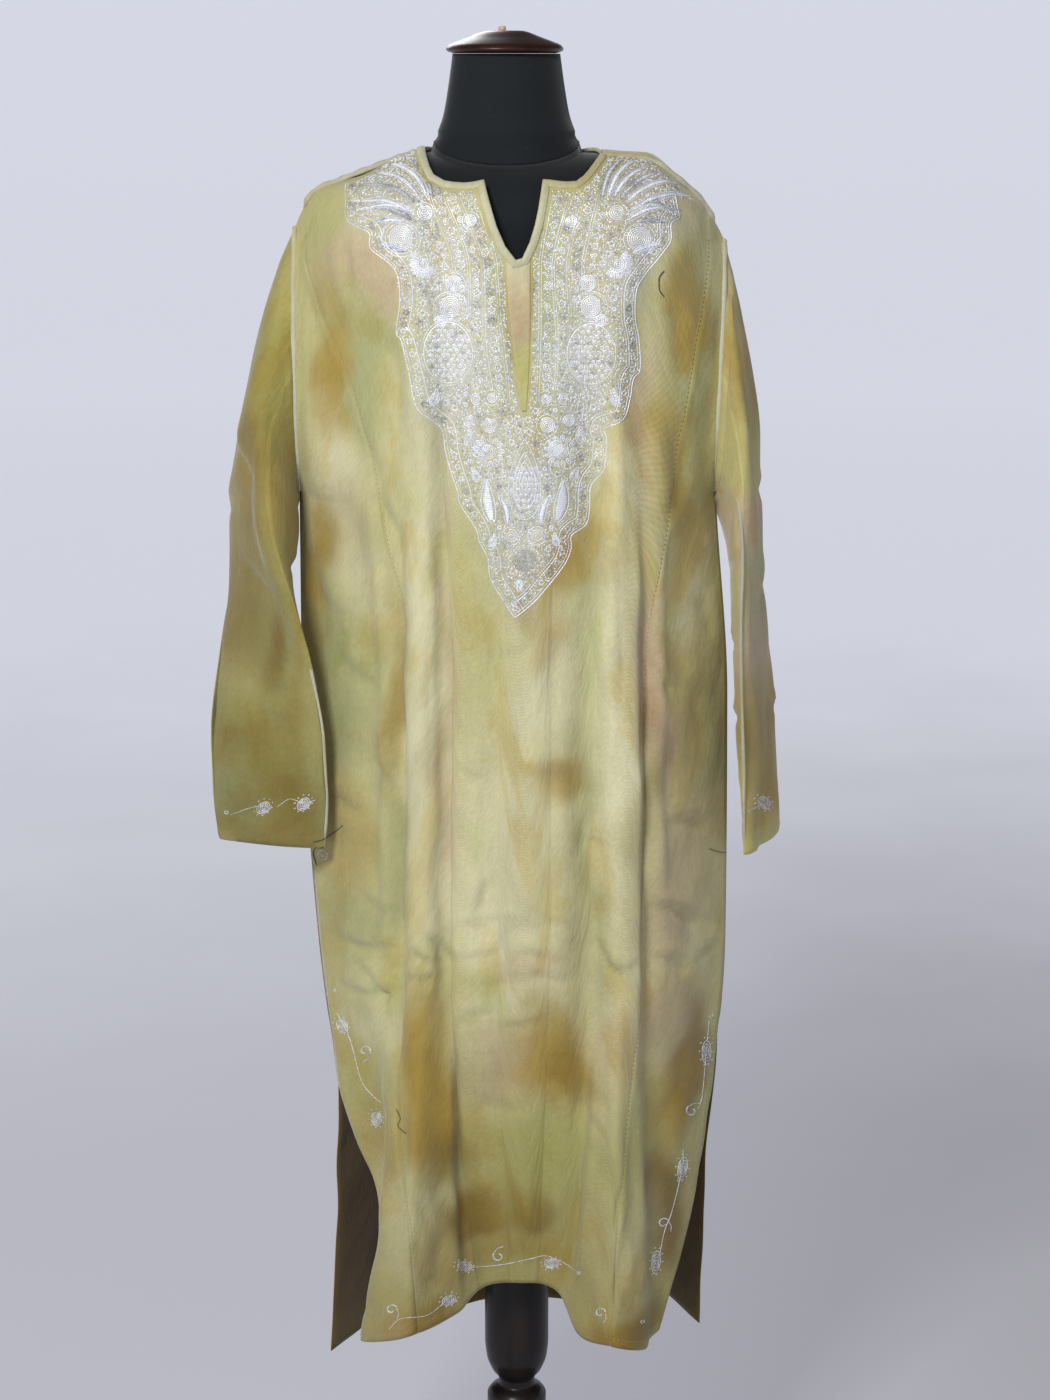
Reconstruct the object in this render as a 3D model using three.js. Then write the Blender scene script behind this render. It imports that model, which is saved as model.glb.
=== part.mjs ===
// A long loose pheran worn on a limbless dress form on a turned stand.
// Millimetres, +Z up, the front faces -Y. The origin is the centre of the stand's underside.
import * as THREE from 'three';
import { mergeVertices } from 'three/addons/utils/BufferGeometryUtils.js';

// ---- Driving dimensions ----
const wall = 1.5; // thickness of the cloth walls
const seamGap = 0.3; // space between pieces that are sewn together
const yokeZ = 1400; // above this height the columns of cloth rise straight to the shoulder
const frontRoll = 70; // height of the round that turns the front over the shoulder
const backRoll = 60; // the same for the back
const slitTopZ = 619; // the side seams open below this height
const underarmZ = 1153;
const armholeHalf = 42; // half the front-to-back width of an armhole
const armholePoint = 0.75; // 0.5 would make the armhole an ellipse
const armholeFade = 1.3; // how soon the armhole's bend dies out across the cloth
const neckX = -9; // the neck of the form leans a little to one side
const neckRing = { halfWidth: 70, halfDepth: 60, sideZ: 1494, frontZ: 1474, backZ: 1482 };
const capRimZ = 1577; // underside of the neck cap
const torsoBottomZ = 800;
const torsoShoulder = 168; // half the width of the form at its shoulders
const torsoSettle = 1.9; // how far the form's shoulders lie under the cloth
const bindingWidth = 6;
const trimThickness = 1.2;
const trimLift = 0.5; // how far what is sewn onto the cloth stands off it
const rowCount = 24; // rows of points down each panel
const rowBunching = 1.45; // how much closer together the rows are at the shoulder

// Height of the top of the shoulders, from the left side to the right.
const ridgeLine = [
  { x: -215, z: 1410 },
  { x: -206, z: 1430 },
  { x: -193, z: 1448 },
  { x: -165, z: 1460 },
  { x: -100, z: 1484 },
  { x: -88, z: 1488 },
  { x: 80, z: 1487 },
  { x: 124, z: 1483 },
  { x: 160, z: 1460 },
  { x: 178, z: 1443 },
  { x: 190, z: 1425 },
  { x: 203, z: 1398 },
];

// The front is drawn through these fold lines, from the left edge to the right edge.
// Each has its place across (x) and its depth (y) at seven heights, and its hem height.
const frontHeights = [1400, 1200, 950, 700, 560, 430, 300];
const frontFolds = [
  {
    name: 'sideL',
    x: [-214, -214, -215, -203, -183, -143, -126],
    y: [0, 0, 0, 0, -28, -70, -92],
    hem: 330,
  },
  {
    name: 'gutterL',
    x: [-168, -152, -142, -143, -142, -126, -116],
    y: [-84, -86, -82, -82, -78, -78, -84],
    hem: 314,
  },
  {
    name: 'edgeL',
    x: [-130, -113, -108, -112, -132, -143, -158],
    y: [-104, -106, -107, -110, -116, -118, -112],
    hem: 302,
  },
  {
    name: 'crestL',
    x: [-96, -88, -88, -90, -99, -105, -112],
    y: [-114, -125, -126, -131, -142, -148, -150],
    hem: 322,
  },
  {
    name: 'valleyL',
    x: [-66, -66, -68, -70, -68, -64, -58],
    y: [-117, -117, -118, -121, -120, -116, -108],
    hem: 330,
  },
  {
    name: 'flatL',
    x: [-34, -38, -40, -42, -38, -34, -32],
    y: [-121, -128, -127, -126, -112, -94, -80],
    hem: 347,
  },
  {
    name: 'middle',
    x: [0, 0, 2, 4, 5, 4, 2],
    y: [-122, -131, -130, -128, -110, -90, -76],
    hem: 350,
  },
  {
    name: 'flatR',
    x: [34, 38, 42, 45, 45, 42, 40],
    y: [-121, -128, -126, -124, -112, -94, -82],
    hem: 343,
  },
  {
    name: 'valleyR',
    x: [66, 71, 73, 74, 74, 70, 63],
    y: [-117, -113, -114, -113, -114, -112, -108],
    hem: 306,
  },
  {
    name: 'crestR',
    x: [94, 96, 100, 102, 98, 97, 96],
    y: [-114, -123, -126, -130, -138, -144, -148],
    hem: 311,
  },
  {
    name: 'edgeR',
    x: [122, 114, 120, 122, 118, 122, 129],
    y: [-104, -108, -111, -115, -122, -124, -120],
    hem: 295,
  },
  {
    name: 'gutterR',
    x: [160, 150, 156, 160, 152, 148, 136],
    y: [-84, -84, -83, -82, -80, -86, -100],
    hem: 297,
  },
  {
    name: 'sideR',
    x: [202, 196, 212, 214, 205, 184, 146],
    y: [0, 0, 0, 0, -12, -48, -90],
    hem: 302,
  },
];

const backHeights = [1400, 1200, 950, 700, 560, 430, 240];
const backFolds = [
  {
    name: 'sideL',
    x: [-214, -214, -215, -203, -184, -187, -196],
    y: [0, 0, 0, 0, 3, 2, -2],
    hem: 237,
  },
  {
    name: 'hollowL',
    x: [-168, -158, -152, -150, -146, -142, -148],
    y: [74, 73, 73, 75, 77, 80, 84],
    hem: 240,
  },
  {
    name: 'crestL',
    x: [-130, -104, -104, -106, -110, -114, -118],
    y: [100, 105, 109, 117, 126, 135, 142],
    hem: 202,
  },
  {
    name: 'valleyL',
    x: [-58, -56, -54, -54, -54, -54, -52],
    y: [108, 107, 108, 111, 111, 112, 112],
    hem: 240,
  },
  {
    name: 'middle',
    x: [0, 0, 0, 0, 2, 2, 3],
    y: [110, 114, 116, 121, 126, 131, 136],
    hem: 236,
  },
  {
    name: 'valleyR',
    x: [56, 54, 52, 54, 56, 58, 60],
    y: [108, 107, 107, 109, 109, 110, 110],
    hem: 246,
  },
  {
    name: 'crestR',
    x: [122, 102, 104, 110, 116, 120, 122],
    y: [100, 105, 109, 117, 128, 137, 146],
    hem: 234,
  },
  {
    name: 'hollowR',
    x: [160, 150, 156, 160, 158, 154, 156],
    y: [74, 71, 73, 75, 77, 80, 86],
    hem: 270,
  },
  {
    name: 'sideR',
    x: [202, 196, 212, 214, 206, 197, 192],
    y: [0, 0, 0, 0, 3, 2, 0],
    hem: 268,
  },
];

// Where the seams of the side gores run, counted in fold lines from the left edge.
const frontSeams = [
  { z: 1385, left: 0.25, right: 11.6 },
  { z: 1274, left: 0.93, right: 11.3 },
  { z: 1135, left: 1.5, right: 10.9 },
  { z: 1019, left: 2.0, right: 10.4 },
  { z: 700, left: 2.1, right: 10.1 },
  { z: 541, left: 2.5, right: 9.6 },
  { z: 443, left: 2.95, right: 9.2 },
  { z: 300, left: 3.3, right: 8.9 },
];
const backSeams = [
  { z: 1385, left: 0.25, right: 7.6 },
  { z: 1200, left: 1.0, right: 7.0 },
  { z: 950, left: 1.5, right: 6.5 },
  { z: 700, left: 1.8, right: 6.2 },
  { z: 430, left: 2.2, right: 5.8 },
  { z: 240, left: 2.4, right: 5.6 },
];

// The cut edge of the front neck and its slit, from the left shoulder to the right.
const neckline = [
  { x: -87.5, z: 1487.1 },
  { x: -86.2, z: 1483.6 },
  { x: -84.5, z: 1479 },
  { x: -81.5, z: 1472 },
  { x: -77, z: 1465 },
  { x: -67, z: 1461.5 },
  { x: -48, z: 1461 },
  { x: -30, z: 1461.5 },
  { x: -28, z: 1453 },
  { x: -25.5, z: 1444 },
  { x: -22.5, z: 1434 },
  { x: -18, z: 1420 },
  { x: -10, z: 1402 },
  { x: 0, z: 1389 },
  { x: 7, z: 1391 },
  { x: 14, z: 1406 },
  { x: 19, z: 1422 },
  { x: 22, z: 1436 },
  { x: 24, z: 1448 },
  { x: 26, z: 1461 },
  { x: 42, z: 1461 },
  { x: 57, z: 1461.5 },
  { x: 64, z: 1466 },
  { x: 69, z: 1471 },
  { x: 74, z: 1476 },
  { x: 78, z: 1480 },
  { x: 80.5, z: 1483 },
];
const slitCorner = { left: -30, right: 26 }; // where the neck turns down into the slit
const neckPoint = { left: -88, right: 81 };
const shoulderSeamDrop = { left: 11, right: 24 }; // how far the seams roll to the front, on the cloth
const backNeckDepth = 74; // how far behind the ridge the back neck edge lies

// The plain strip that closes the slit below its foot: its two edges at four heights.
const placketRows = [
  { z: 1385, left: -9, right: 14 },
  { z: 1333, left: -5, right: 14 },
  { z: 1284, left: 1, right: 12.5 },
  { z: 1250, left: 6, right: 10 },
];

// Each sleeve is a flattened tube. A row gives the middle of a section, half of its long
// axis from the front fold to the back fold, and half of its short axis from the body outwards.
const sleeveRows = {
  left: [
    { x: -223, y: 0, z: 1264, longX: 0, longY: 48, longZ: 0, shortX: -6, shortY: 0, shortZ: 117 },
    { x: -232, y: 0, z: 1237, longX: 0, longY: 58, longZ: 0, shortX: -13, shortY: 0, shortZ: 98 },
    { x: -241, y: -2, z: 1203, longX: -2, longY: 68, longZ: 0, shortX: -20, shortY: 0, shortZ: 76 },
    { x: -249, y: -4, z: 1162, longX: -10, longY: 74, longZ: 0, shortX: -24, shortY: 0, shortZ: 52 },
    { x: -254, y: -8, z: 1112, longX: -22, longY: 73, longZ: 0, shortX: -22, shortY: -4, shortZ: 28 },
    { x: -252, y: -14, z: 1050, longX: -38, longY: 64, longZ: 0, shortX: -14, shortY: -8, shortZ: 10 },
    { x: -250, y: -20, z: 985, longX: -51, longY: 51, longZ: 0, shortX: -9, shortY: -10, shortZ: 2 },
    { x: -249, y: -28, z: 915, longX: -60, longY: 38, longZ: 0, shortX: -6, shortY: -11, shortZ: 0 },
    { x: -247, y: -32, z: 865, longX: -60, longY: 30, longZ: 0, shortX: -5, shortY: -10, shortZ: 0 },
    { x: -245, y: -32, z: 803, longX: -54, longY: 20, longZ: 0, shortX: -4, shortY: -10, shortZ: 0 },
  ],
  right: [
    { x: 207, y: 0, z: 1258, longX: 0, longY: 48, longZ: 0, shortX: 4, shortY: 0, shortZ: 112 },
    { x: 212, y: 0, z: 1233, longX: 0, longY: 57, longZ: 0, shortX: 8, shortY: 0, shortZ: 92 },
    { x: 218, y: 0, z: 1200, longX: 2, longY: 66, longZ: 0, shortX: 12, shortY: 0, shortZ: 70 },
    { x: 224, y: 0, z: 1160, longX: 5, longY: 72, longZ: 0, shortX: 13, shortY: 0, shortZ: 46 },
    { x: 229, y: 0, z: 1110, longX: 9, longY: 73, longZ: 0, shortX: 12, shortY: -1, shortZ: 24 },
    { x: 233, y: 0, z: 1050, longX: 14, longY: 72, longZ: 0, shortX: 11, shortY: -2, shortZ: 8 },
    { x: 238, y: -2, z: 985, longX: 18, longY: 70, longZ: 0, shortX: 10, shortY: -3, shortZ: 2 },
    { x: 243, y: -4, z: 915, longX: 20, longY: 67, longZ: 0, shortX: 10, shortY: -3, shortZ: 0 },
    { x: 246, y: -6, z: 865, longX: 21, longY: 62, longZ: 0, shortX: 10, shortY: -3, shortZ: 0 },
    { x: 246, y: -8, z: 800, longX: 20, longY: 55, longZ: 0, shortX: 10, shortY: -4, shortZ: 0 },
  ],
};

// Sections of the form below its shoulders: half width, and depth in front and behind.
const torsoRows = [
  { z: 1400, halfWidth: torsoShoulder, front: 104, back: 92 },
  { z: 1330, halfWidth: 158, front: 110, back: 97 },
  { z: 1250, halfWidth: 152, front: 117, back: 94 },
  { z: 1170, halfWidth: 136, front: 102, back: 86 },
  { z: 1080, halfWidth: 118, front: 86, back: 80 },
  { z: 980, halfWidth: 142, front: 96, back: 98 },
  { z: 880, halfWidth: 164, front: 106, back: 104 },
  { z: torsoBottomZ, halfWidth: 160, front: 104, back: 98 },
];

// Rings of the neck: height, half width, half depth. The lowest follows the form's seam.
const neckRows = [
  { z: 1576.7, halfWidth: 51.5, halfDepth: 46 },
  { z: 1545, halfWidth: 56, halfDepth: 50 },
  { z: 1518, halfWidth: 61, halfDepth: 54 },
  { z: 1504, halfWidth: 66, halfDepth: 58 },
];

// Turned profile of the pole, from the stand's foot to the form.
const poleRows = [
  { r: 46, z: 30.3 },
  { r: 46, z: 44 },
  { r: 34, z: 52 },
  { r: 24, z: 72 },
  { r: 22, z: 105 },
  { r: 25, z: 138 },
  { r: 30, z: 160 },
  { r: 31, z: 176 },
  { r: 31, z: 190 },
  { r: 27, z: 196 },
  { r: 19, z: 202 },
  { r: 19, z: 208 },
  { r: 26, z: 218 },
  { r: 31.5, z: 232 },
  { r: 33.5, z: 250 },
  { r: 33.5, z: 300 },
  { r: 31, z: 350 },
  { r: 26, z: 430 },
  { r: 21, z: 510 },
  { r: 21, z: 520 },
  { r: 29, z: 530 },
  { r: 29, z: 544 },
  { r: 20, z: 552 },
  { r: 20, z: torsoBottomZ - seamGap },
];
const baseRows = [
  { r: 190, z: 0 },
  { r: 190, z: 9 },
  { r: 184, z: 16 },
  { r: 150, z: 20 },
  { r: 95, z: 24 },
  { r: 60, z: 30 },
];
const capRows = [
  { r: 49, z: 0 },
  { r: 55, z: 2 },
  { r: 56.3, z: 4 },
  { r: 54, z: 7.5 },
  { r: 46, z: 11 },
  { r: 35, z: 15 },
  { r: 22, z: 20 },
  { r: 17, z: 21.1 },
];

// ---- Interpolation ----

// A smooth curve through (xs, ys) that never swings past its points.
function smoothCurve(xs, ys) {
  const last = xs.length - 1;
  const steps = xs.slice(1).map((value, i) => value - xs[i]);
  const slopes = steps.map((step, i) => (ys[i + 1] - ys[i]) / step);
  const tangents = xs.map((_, i) => {
    if (i === 0) return slopes[0];
    if (i === last) return slopes[last - 1];
    if (slopes[i - 1] * slopes[i] <= 0) return 0;
    const weight = (2 * steps[i] + steps[i - 1]) / (3 * (steps[i] + steps[i - 1]));
    return 1 / (weight / slopes[i - 1] + (1 - weight) / slopes[i]);
  });
  return (x) => {
    if (x <= xs[0]) return ys[0];
    if (x >= xs[last]) return ys[last];
    let i = 0;
    while (x > xs[i + 1]) i += 1;
    const t = (x - xs[i]) / steps[i];
    const enter = tangents[i] * steps[i];
    const leave = tangents[i + 1] * steps[i];
    const bend = 3 * (ys[i + 1] - ys[i]) - 2 * enter - leave;
    const twist = 2 * (ys[i] - ys[i + 1]) + enter + leave;
    return ys[i] + t * (enter + t * (bend + t * twist));
  };
}

function columnCurve(rows, key, value) {
  const sorted = [...rows].sort((a, b) => a[key] - b[key]);
  return smoothCurve(sorted.map((row) => row[key]), sorted.map((row) => row[value]));
}

// Catmull-Rom through values that lie one step apart.
function acrossLines(values, s) {
  const last = values.length - 1;
  const i = Math.min(Math.max(Math.floor(s), 0), last - 1);
  const t = s - i;
  const b = values[i];
  const c = values[i + 1];
  const a = i > 0 ? values[i - 1] : 2 * b - c;
  const d = i + 2 <= last ? values[i + 2] : 2 * c - b;
  const bend = 2 * a - 5 * b + 4 * c - d;
  const twist = 3 * b - a - 3 * c + d;
  return b + 0.5 * t * (c - a + t * (bend + t * twist));
}

const clamp01 = (t) => Math.min(Math.max(t, 0), 1);
const mix = (a, b, t) => a + (b - a) * t;
const ease = (t) => clamp01(t) ** 2 * (3 - 2 * clamp01(t));

// ---- The surface of the body ----

const ridgeZ = columnCurve(ridgeLine, 'x', 'z');

// Half of an armhole's opening at a height: a pointed oval between the underarm and the shoulder.
function armholeOpening(z, topZ) {
  const half = (topZ - underarmZ) / 2;
  const away = (z - underarmZ - half) / half;
  return Math.abs(away) < 1 ? armholeHalf * (1 - away * away) ** armholePoint : 0;
}

// One side of the body. A point is named by s, counted in fold lines from the left edge, and w,
// the way along the cloth from the ridge: round over the shoulder first, then straight down.
function makeSide(heights, folds, roll, facing) {
  const levels = [...heights].reverse();
  const along = (values) => smoothCurve(levels, [...values].reverse());
  const xLines = folds.map((fold) => along(fold.x));
  const yLines = folds.map((fold) => along(fold.y));
  const lastLine = folds.length - 1;
  const xAt = (s, z) => acrossLines(xLines.map((line) => line(z)), s);
  const yAt = (s, z) => acrossLines(yLines.map((line) => line(z)), s);
  const topX = (s) => xAt(s, yokeZ);
  const hemZ = (s) => acrossLines(folds.map((fold) => fold.hem), s);
  const bend = roll * Math.PI / 2;

  function wAt(s, z) {
    const drop = ridgeZ(topX(s)) - z;
    return drop < roll ? roll * Math.acos(1 - drop / roll) : bend + drop - roll;
  }
  function point(s, w) {
    const angle = Math.min(w / roll, Math.PI / 2);
    const drop = w < bend ? roll * (1 - Math.cos(angle)) : roll + w - bend;
    const z = ridgeZ(topX(s)) - drop;
    const nearEdge = Math.min(s, lastLine - s);
    const edgeTop = ridgeZ(topX(s < lastLine / 2 ? 0 : lastLine));
    const opening = armholeOpening(z, edgeTop) * Math.max(1 - nearEdge, 0) ** armholeFade;
    return new THREE.Vector3(xAt(s, z), yAt(s, z) * Math.sin(angle) + facing * opening, z);
  }
  // The column whose top lies at x, found by halving.
  function lineAt(x) {
    let low = 0;
    let high = lastLine;
    for (let i = 0; i < 40; i += 1) {
      const mid = (low + high) / 2;
      if (topX(mid) < x) low = mid;
      else high = mid;
    }
    return (low + high) / 2;
  }
  return { point, wAt, hemZ, topX, lineAt, lastLine };
}

const front = makeSide(frontHeights, frontFolds, frontRoll, -1);
const back = makeSide(backHeights, backFolds, backRoll, 1);

// The back wraps over the ridge: where w is below zero its points are the front's.
function backPoint(s, w) {
  return w < 0 ? front.point(front.lineAt(back.topX(s)), -w) : back.point(s, w);
}

// The outward direction of a surface, from small steps along s and w. Where the front meets the
// back at the sides it points straight sideways, so that the two walls meet in a mitre.
function outward(point, s, w, sign) {
  const step = 0.02;
  const acrossStep = point(s + step, w).sub(point(s - step, w));
  const downStep = point(s, w + 0.5).sub(point(s, w - 0.5));
  const normal = downStep.cross(acrossStep).multiplyScalar(sign).normalize();
  const lastLine = sign > 0 ? front.lastLine : back.lastLine;
  const nearEdge = Math.min(s, lastLine - s);
  const sewn = ease((point(s, w).z - slitTopZ + 60) / 50);
  normal.y *= 1 - sewn * ease(1 - nearEdge / 0.1);
  return normal.normalize();
}

// ---- Meshes ----

class Shell {
  constructor() {
    this.vertices = [];
    this.triangles = [];
  }
  addPoint(p) {
    this.vertices.push(p.x, p.y, p.z);
    return this.vertices.length / 3 - 1;
  }
  // Two triangles; a flipped pair faces the other way and keeps the same diagonal.
  addQuad([a, b, c, d], flipped) {
    this.triangles.push(...(flipped ? [a, c, b, a, d, c] : [a, b, c, a, c, d]));
  }
  addGrid(rows, flipped = false) {
    const ids = rows.map((row) => row.map((p) => this.addPoint(p)));
    for (let i = 0; i + 1 < ids.length; i += 1) {
      for (let j = 0; j + 1 < ids[i].length; j += 1) {
        this.addQuad([ids[i][j], ids[i][j + 1], ids[i + 1][j + 1], ids[i + 1][j]], flipped);
      }
    }
  }
  addFan(loop, centre, flipped = false) {
    const ids = loop.map((p) => this.addPoint(p));
    const hub = this.addPoint(centre);
    ids.forEach((id, i) => {
      const next = ids[(i + 1) % ids.length];
      this.triangles.push(...(flipped ? [next, id, hub] : [id, next, hub]));
    });
  }
  toGeometry() {
    const geometry = new THREE.BufferGeometry();
    geometry.setAttribute('position', new THREE.Float32BufferAttribute(this.vertices, 3));
    geometry.setIndex(this.triangles);
    const merged = mergeVertices(geometry, 1e-3);
    if (signedVolume(merged) < 0) flipFaces(merged);
    return merged;
  }
}

function signedVolume(geometry) {
  const position = geometry.getAttribute('position');
  const index = geometry.getIndex();
  const [a, b, c] = [new THREE.Vector3(), new THREE.Vector3(), new THREE.Vector3()];
  let sum = 0;
  for (let i = 0; i < index.count; i += 3) {
    a.fromBufferAttribute(position, index.getX(i));
    b.fromBufferAttribute(position, index.getX(i + 1));
    c.fromBufferAttribute(position, index.getX(i + 2));
    sum += a.dot(b.cross(c)) / 6;
  }
  return sum;
}

function flipFaces(geometry) {
  const ids = geometry.getIndex().array;
  for (let i = 0; i < ids.length; i += 3) [ids[i], ids[i + 1]] = [ids[i + 1], ids[i]];
}

// A sheet of cloth: its outer points, and the same points moved in by the wall.
function sheetGeometry(outer, inner) {
  const shell = new Shell();
  const lastRow = outer.length - 1;
  const lastColumn = outer[0].length - 1;
  shell.addGrid(outer);
  shell.addGrid(inner, true);
  shell.addGrid([inner[0], outer[0]]);
  shell.addGrid([outer[lastRow], inner[lastRow]]);
  shell.addGrid([outer.map((row) => row[0]), inner.map((row) => row[0])]);
  shell.addGrid([outer.map((row) => row[lastColumn]), inner.map((row) => row[lastColumn])], true);
  return shell.toGeometry();
}

// A panel from a grid of (s, w) places on a surface, lifted off it and given a thickness.
// A place may name another s for its direction, so that two edges at a seam face the same way.
function panelGeometry(point, places, sign, lift = 0, thickness = wall) {
  const lifted = (distance) => places.map((row) => row.map(([s, w, facingS = s]) => (
    point(s, w).addScaledVector(outward(point, facingS, w, sign), distance)
  )));
  return sheetGeometry(lifted(lift + (lift ? thickness : 0)), lifted(lift ? lift : -thickness));
}

function spread(from, to, count) {
  return Array.from({ length: count + 1 }, (_, i) => mix(from, to, i / count));
}

// Half of the seam gap, as a step in s: measured square to the way down the cloth.
function halfGap(point, s, w) {
  const step = 0.01;
  const acrossStep = point(s + step, w).sub(point(s - step, w));
  const down = point(s, w + 0.5).sub(point(s, w - 0.5)).normalize();
  const square = acrossStep.addScaledVector(down, -acrossStep.dot(down)).length();
  return (seamGap / 2) * 2 * step / square;
}

// ---- Panels of the garment ----

// The shoulder seam turns up to the ridge over the last few millimetres before each armhole.
const seamTurn = 12;
function seamDropAt(x) {
  if (x < 0) return shoulderSeamDrop.left * clamp01((x - ridgeLine[0].x) / seamTurn);
  return shoulderSeamDrop.right * clamp01((ridgeLine[ridgeLine.length - 1].x - x) / seamTurn);
}
const necklineZ = (x) => {
  const i = neckline.findIndex((p) => p.x >= x);
  if (i <= 0) return neckline[i < 0 ? neckline.length - 1 : 0].z;
  const from = neckline[i - 1];
  const to = neckline[i];
  return mix(from.z, to.z, (x - from.x) / (to.x - from.x));
};
const inNeck = (x) => x > neckPoint.left && x < neckPoint.right;

function frontTopW(s) {
  const x = front.topX(s);
  return inNeck(x) ? front.wAt(s, necklineZ(x)) : seamDropAt(x) + 2 * seamGap;
}
// The back neck edge is half an oval in plan, from the front seam round behind the neck.
function backTopW(s) {
  const x = back.topX(s);
  if (!inNeck(x)) return -seamDropAt(x);
  const share = (x - neckPoint.left) / (neckPoint.right - neckPoint.left);
  const startY = (drop, edgeX) => front.point(front.lineAt(edgeX), drop).y;
  const start = mix(
    startY(shoulderSeamDrop.left, neckPoint.left),
    startY(shoulderSeamDrop.right, neckPoint.right),
    share,
  );
  const y = mix(start, backNeckDepth, Math.sqrt(1 - (2 * share - 1) ** 2));
  if (y >= 0) return backRoll * Math.asin(y / back.point(s, back.wAt(s, yokeZ)).y);
  const line = front.lineAt(x);
  return -frontRoll * Math.asin(y / front.point(line, front.wAt(line, yokeZ)).y);
}

function seamCurves(rows) {
  return { left: columnCurve(rows, 'z', 'left'), right: columnCurve(rows, 'z', 'right') };
}
const frontSeam = seamCurves(frontSeams);
const backSeam = seamCurves(backSeams);

const frontPoint = (s, w) => front.point(s, w);

// Places on a panel that lies between two lines running down the cloth. Each share of the way
// between them is one column; the lines wander with height, so s is found again at each height.
function panelPlaces(side, point, lines, shares, topW) {
  const [from, to] = lines;
  return spread(0, 1, rowCount).map((v) => shares.map((share, column) => {
    const topS = mix(from(yokeZ), to(yokeZ), share);
    const startW = topW(topS);
    let s = topS;
    let w = startW;
    for (let pass = 0; pass < 5; pass += 1) {
      w = mix(startW, side.wAt(s, side.hemZ(s)), v ** rowBunching);
      const z = point(s, w).z;
      s = mix(from(z), to(z), share);
    }
    const gap = halfGap(point, s, w);
    if (column === 0) return [s + gap, w, s];
    return column === shares.length - 1 ? [s - gap, w, s] : [s, w, s];
  }));
}

// The shares at which the columns of a centre panel start, from their places at the shoulder.
function columnShares(side, seam, columns) {
  const from = seam.left(yokeZ);
  const to = seam.right(yokeZ);
  const shares = columns.map((x) => clamp01((side.lineAt(x) - from) / (to - from)));
  return [0, ...shares, 1];
}

// ---- Pieces ----

const colours = {
  clothCentre: 0xbfb884,
  clothGore: 0xa9a274,
  clothBack: 0xb2a878,
  sleeve: 0xaaa06c,
  binding: 0xb9b27c,
  placket: 0xc6b596,
  jersey: 0x17181b,
  lacquer: 0x100d0c,
  cap: 0x2a1a14,
  peg: 0xc9b391,
};
const part = new THREE.Group();

function addPiece(name, geometry, colour, roughness = 0.9) {
  const material = new THREE.MeshStandardMaterial({ color: colour, roughness, metalness: 0 });
  geometry.computeVertexNormals();
  const mesh = new THREE.Mesh(geometry, material);
  mesh.name = name;
  part.add(mesh);
}

// A centre panel and the two gores beside it, which share the points of their seams.
function addSide(name, side, point, seam, columns, topW, goreColumns, sign, colour) {
  const leftEdge = () => 0;
  const rightEdge = () => side.lastLine;
  const goreShares = spread(0, 1, goreColumns);
  const panels = [
    [`${name}_gore_left`, [leftEdge, seam.left], goreShares, colours.clothGore],
    [`${name}_center`, [seam.left, seam.right], columnShares(side, seam, columns), colour],
    [`${name}_gore_right`, [seam.right, rightEdge], goreShares, colours.clothGore],
  ];
  for (const [panelName, lines, shares, panelColour] of panels) {
    const places = panelPlaces(side, point, lines, shares, topW);
    addPiece(panelName, panelGeometry(point, places, sign), panelColour);
  }
}

function addBody() {
  const shoulders = (from, to) => spread(from, to, 5).slice(1, -1);
  const frontColumns = [
    ...shoulders(-202, neckPoint.left),
    ...neckline.map((p) => p.x),
    ...shoulders(neckPoint.right, 185),
  ];
  addSide('front', front, frontPoint, frontSeam, frontColumns, frontTopW, 6, 1, colours.clothCentre);
  const neckColumns = spread(0, Math.PI, 12)
    .map((angle) => mix(neckPoint.left, neckPoint.right, 0.005 + 0.99 * (1 - Math.cos(angle)) / 2));
  const backColumns = [
    ...shoulders(-202, neckPoint.left),
    ...neckColumns,
    ...shoulders(neckPoint.right, 185),
  ];
  addSide('back', back, backPoint, backSeam, backColumns, backTopW, 6, -1, colours.clothBack);
}

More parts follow.
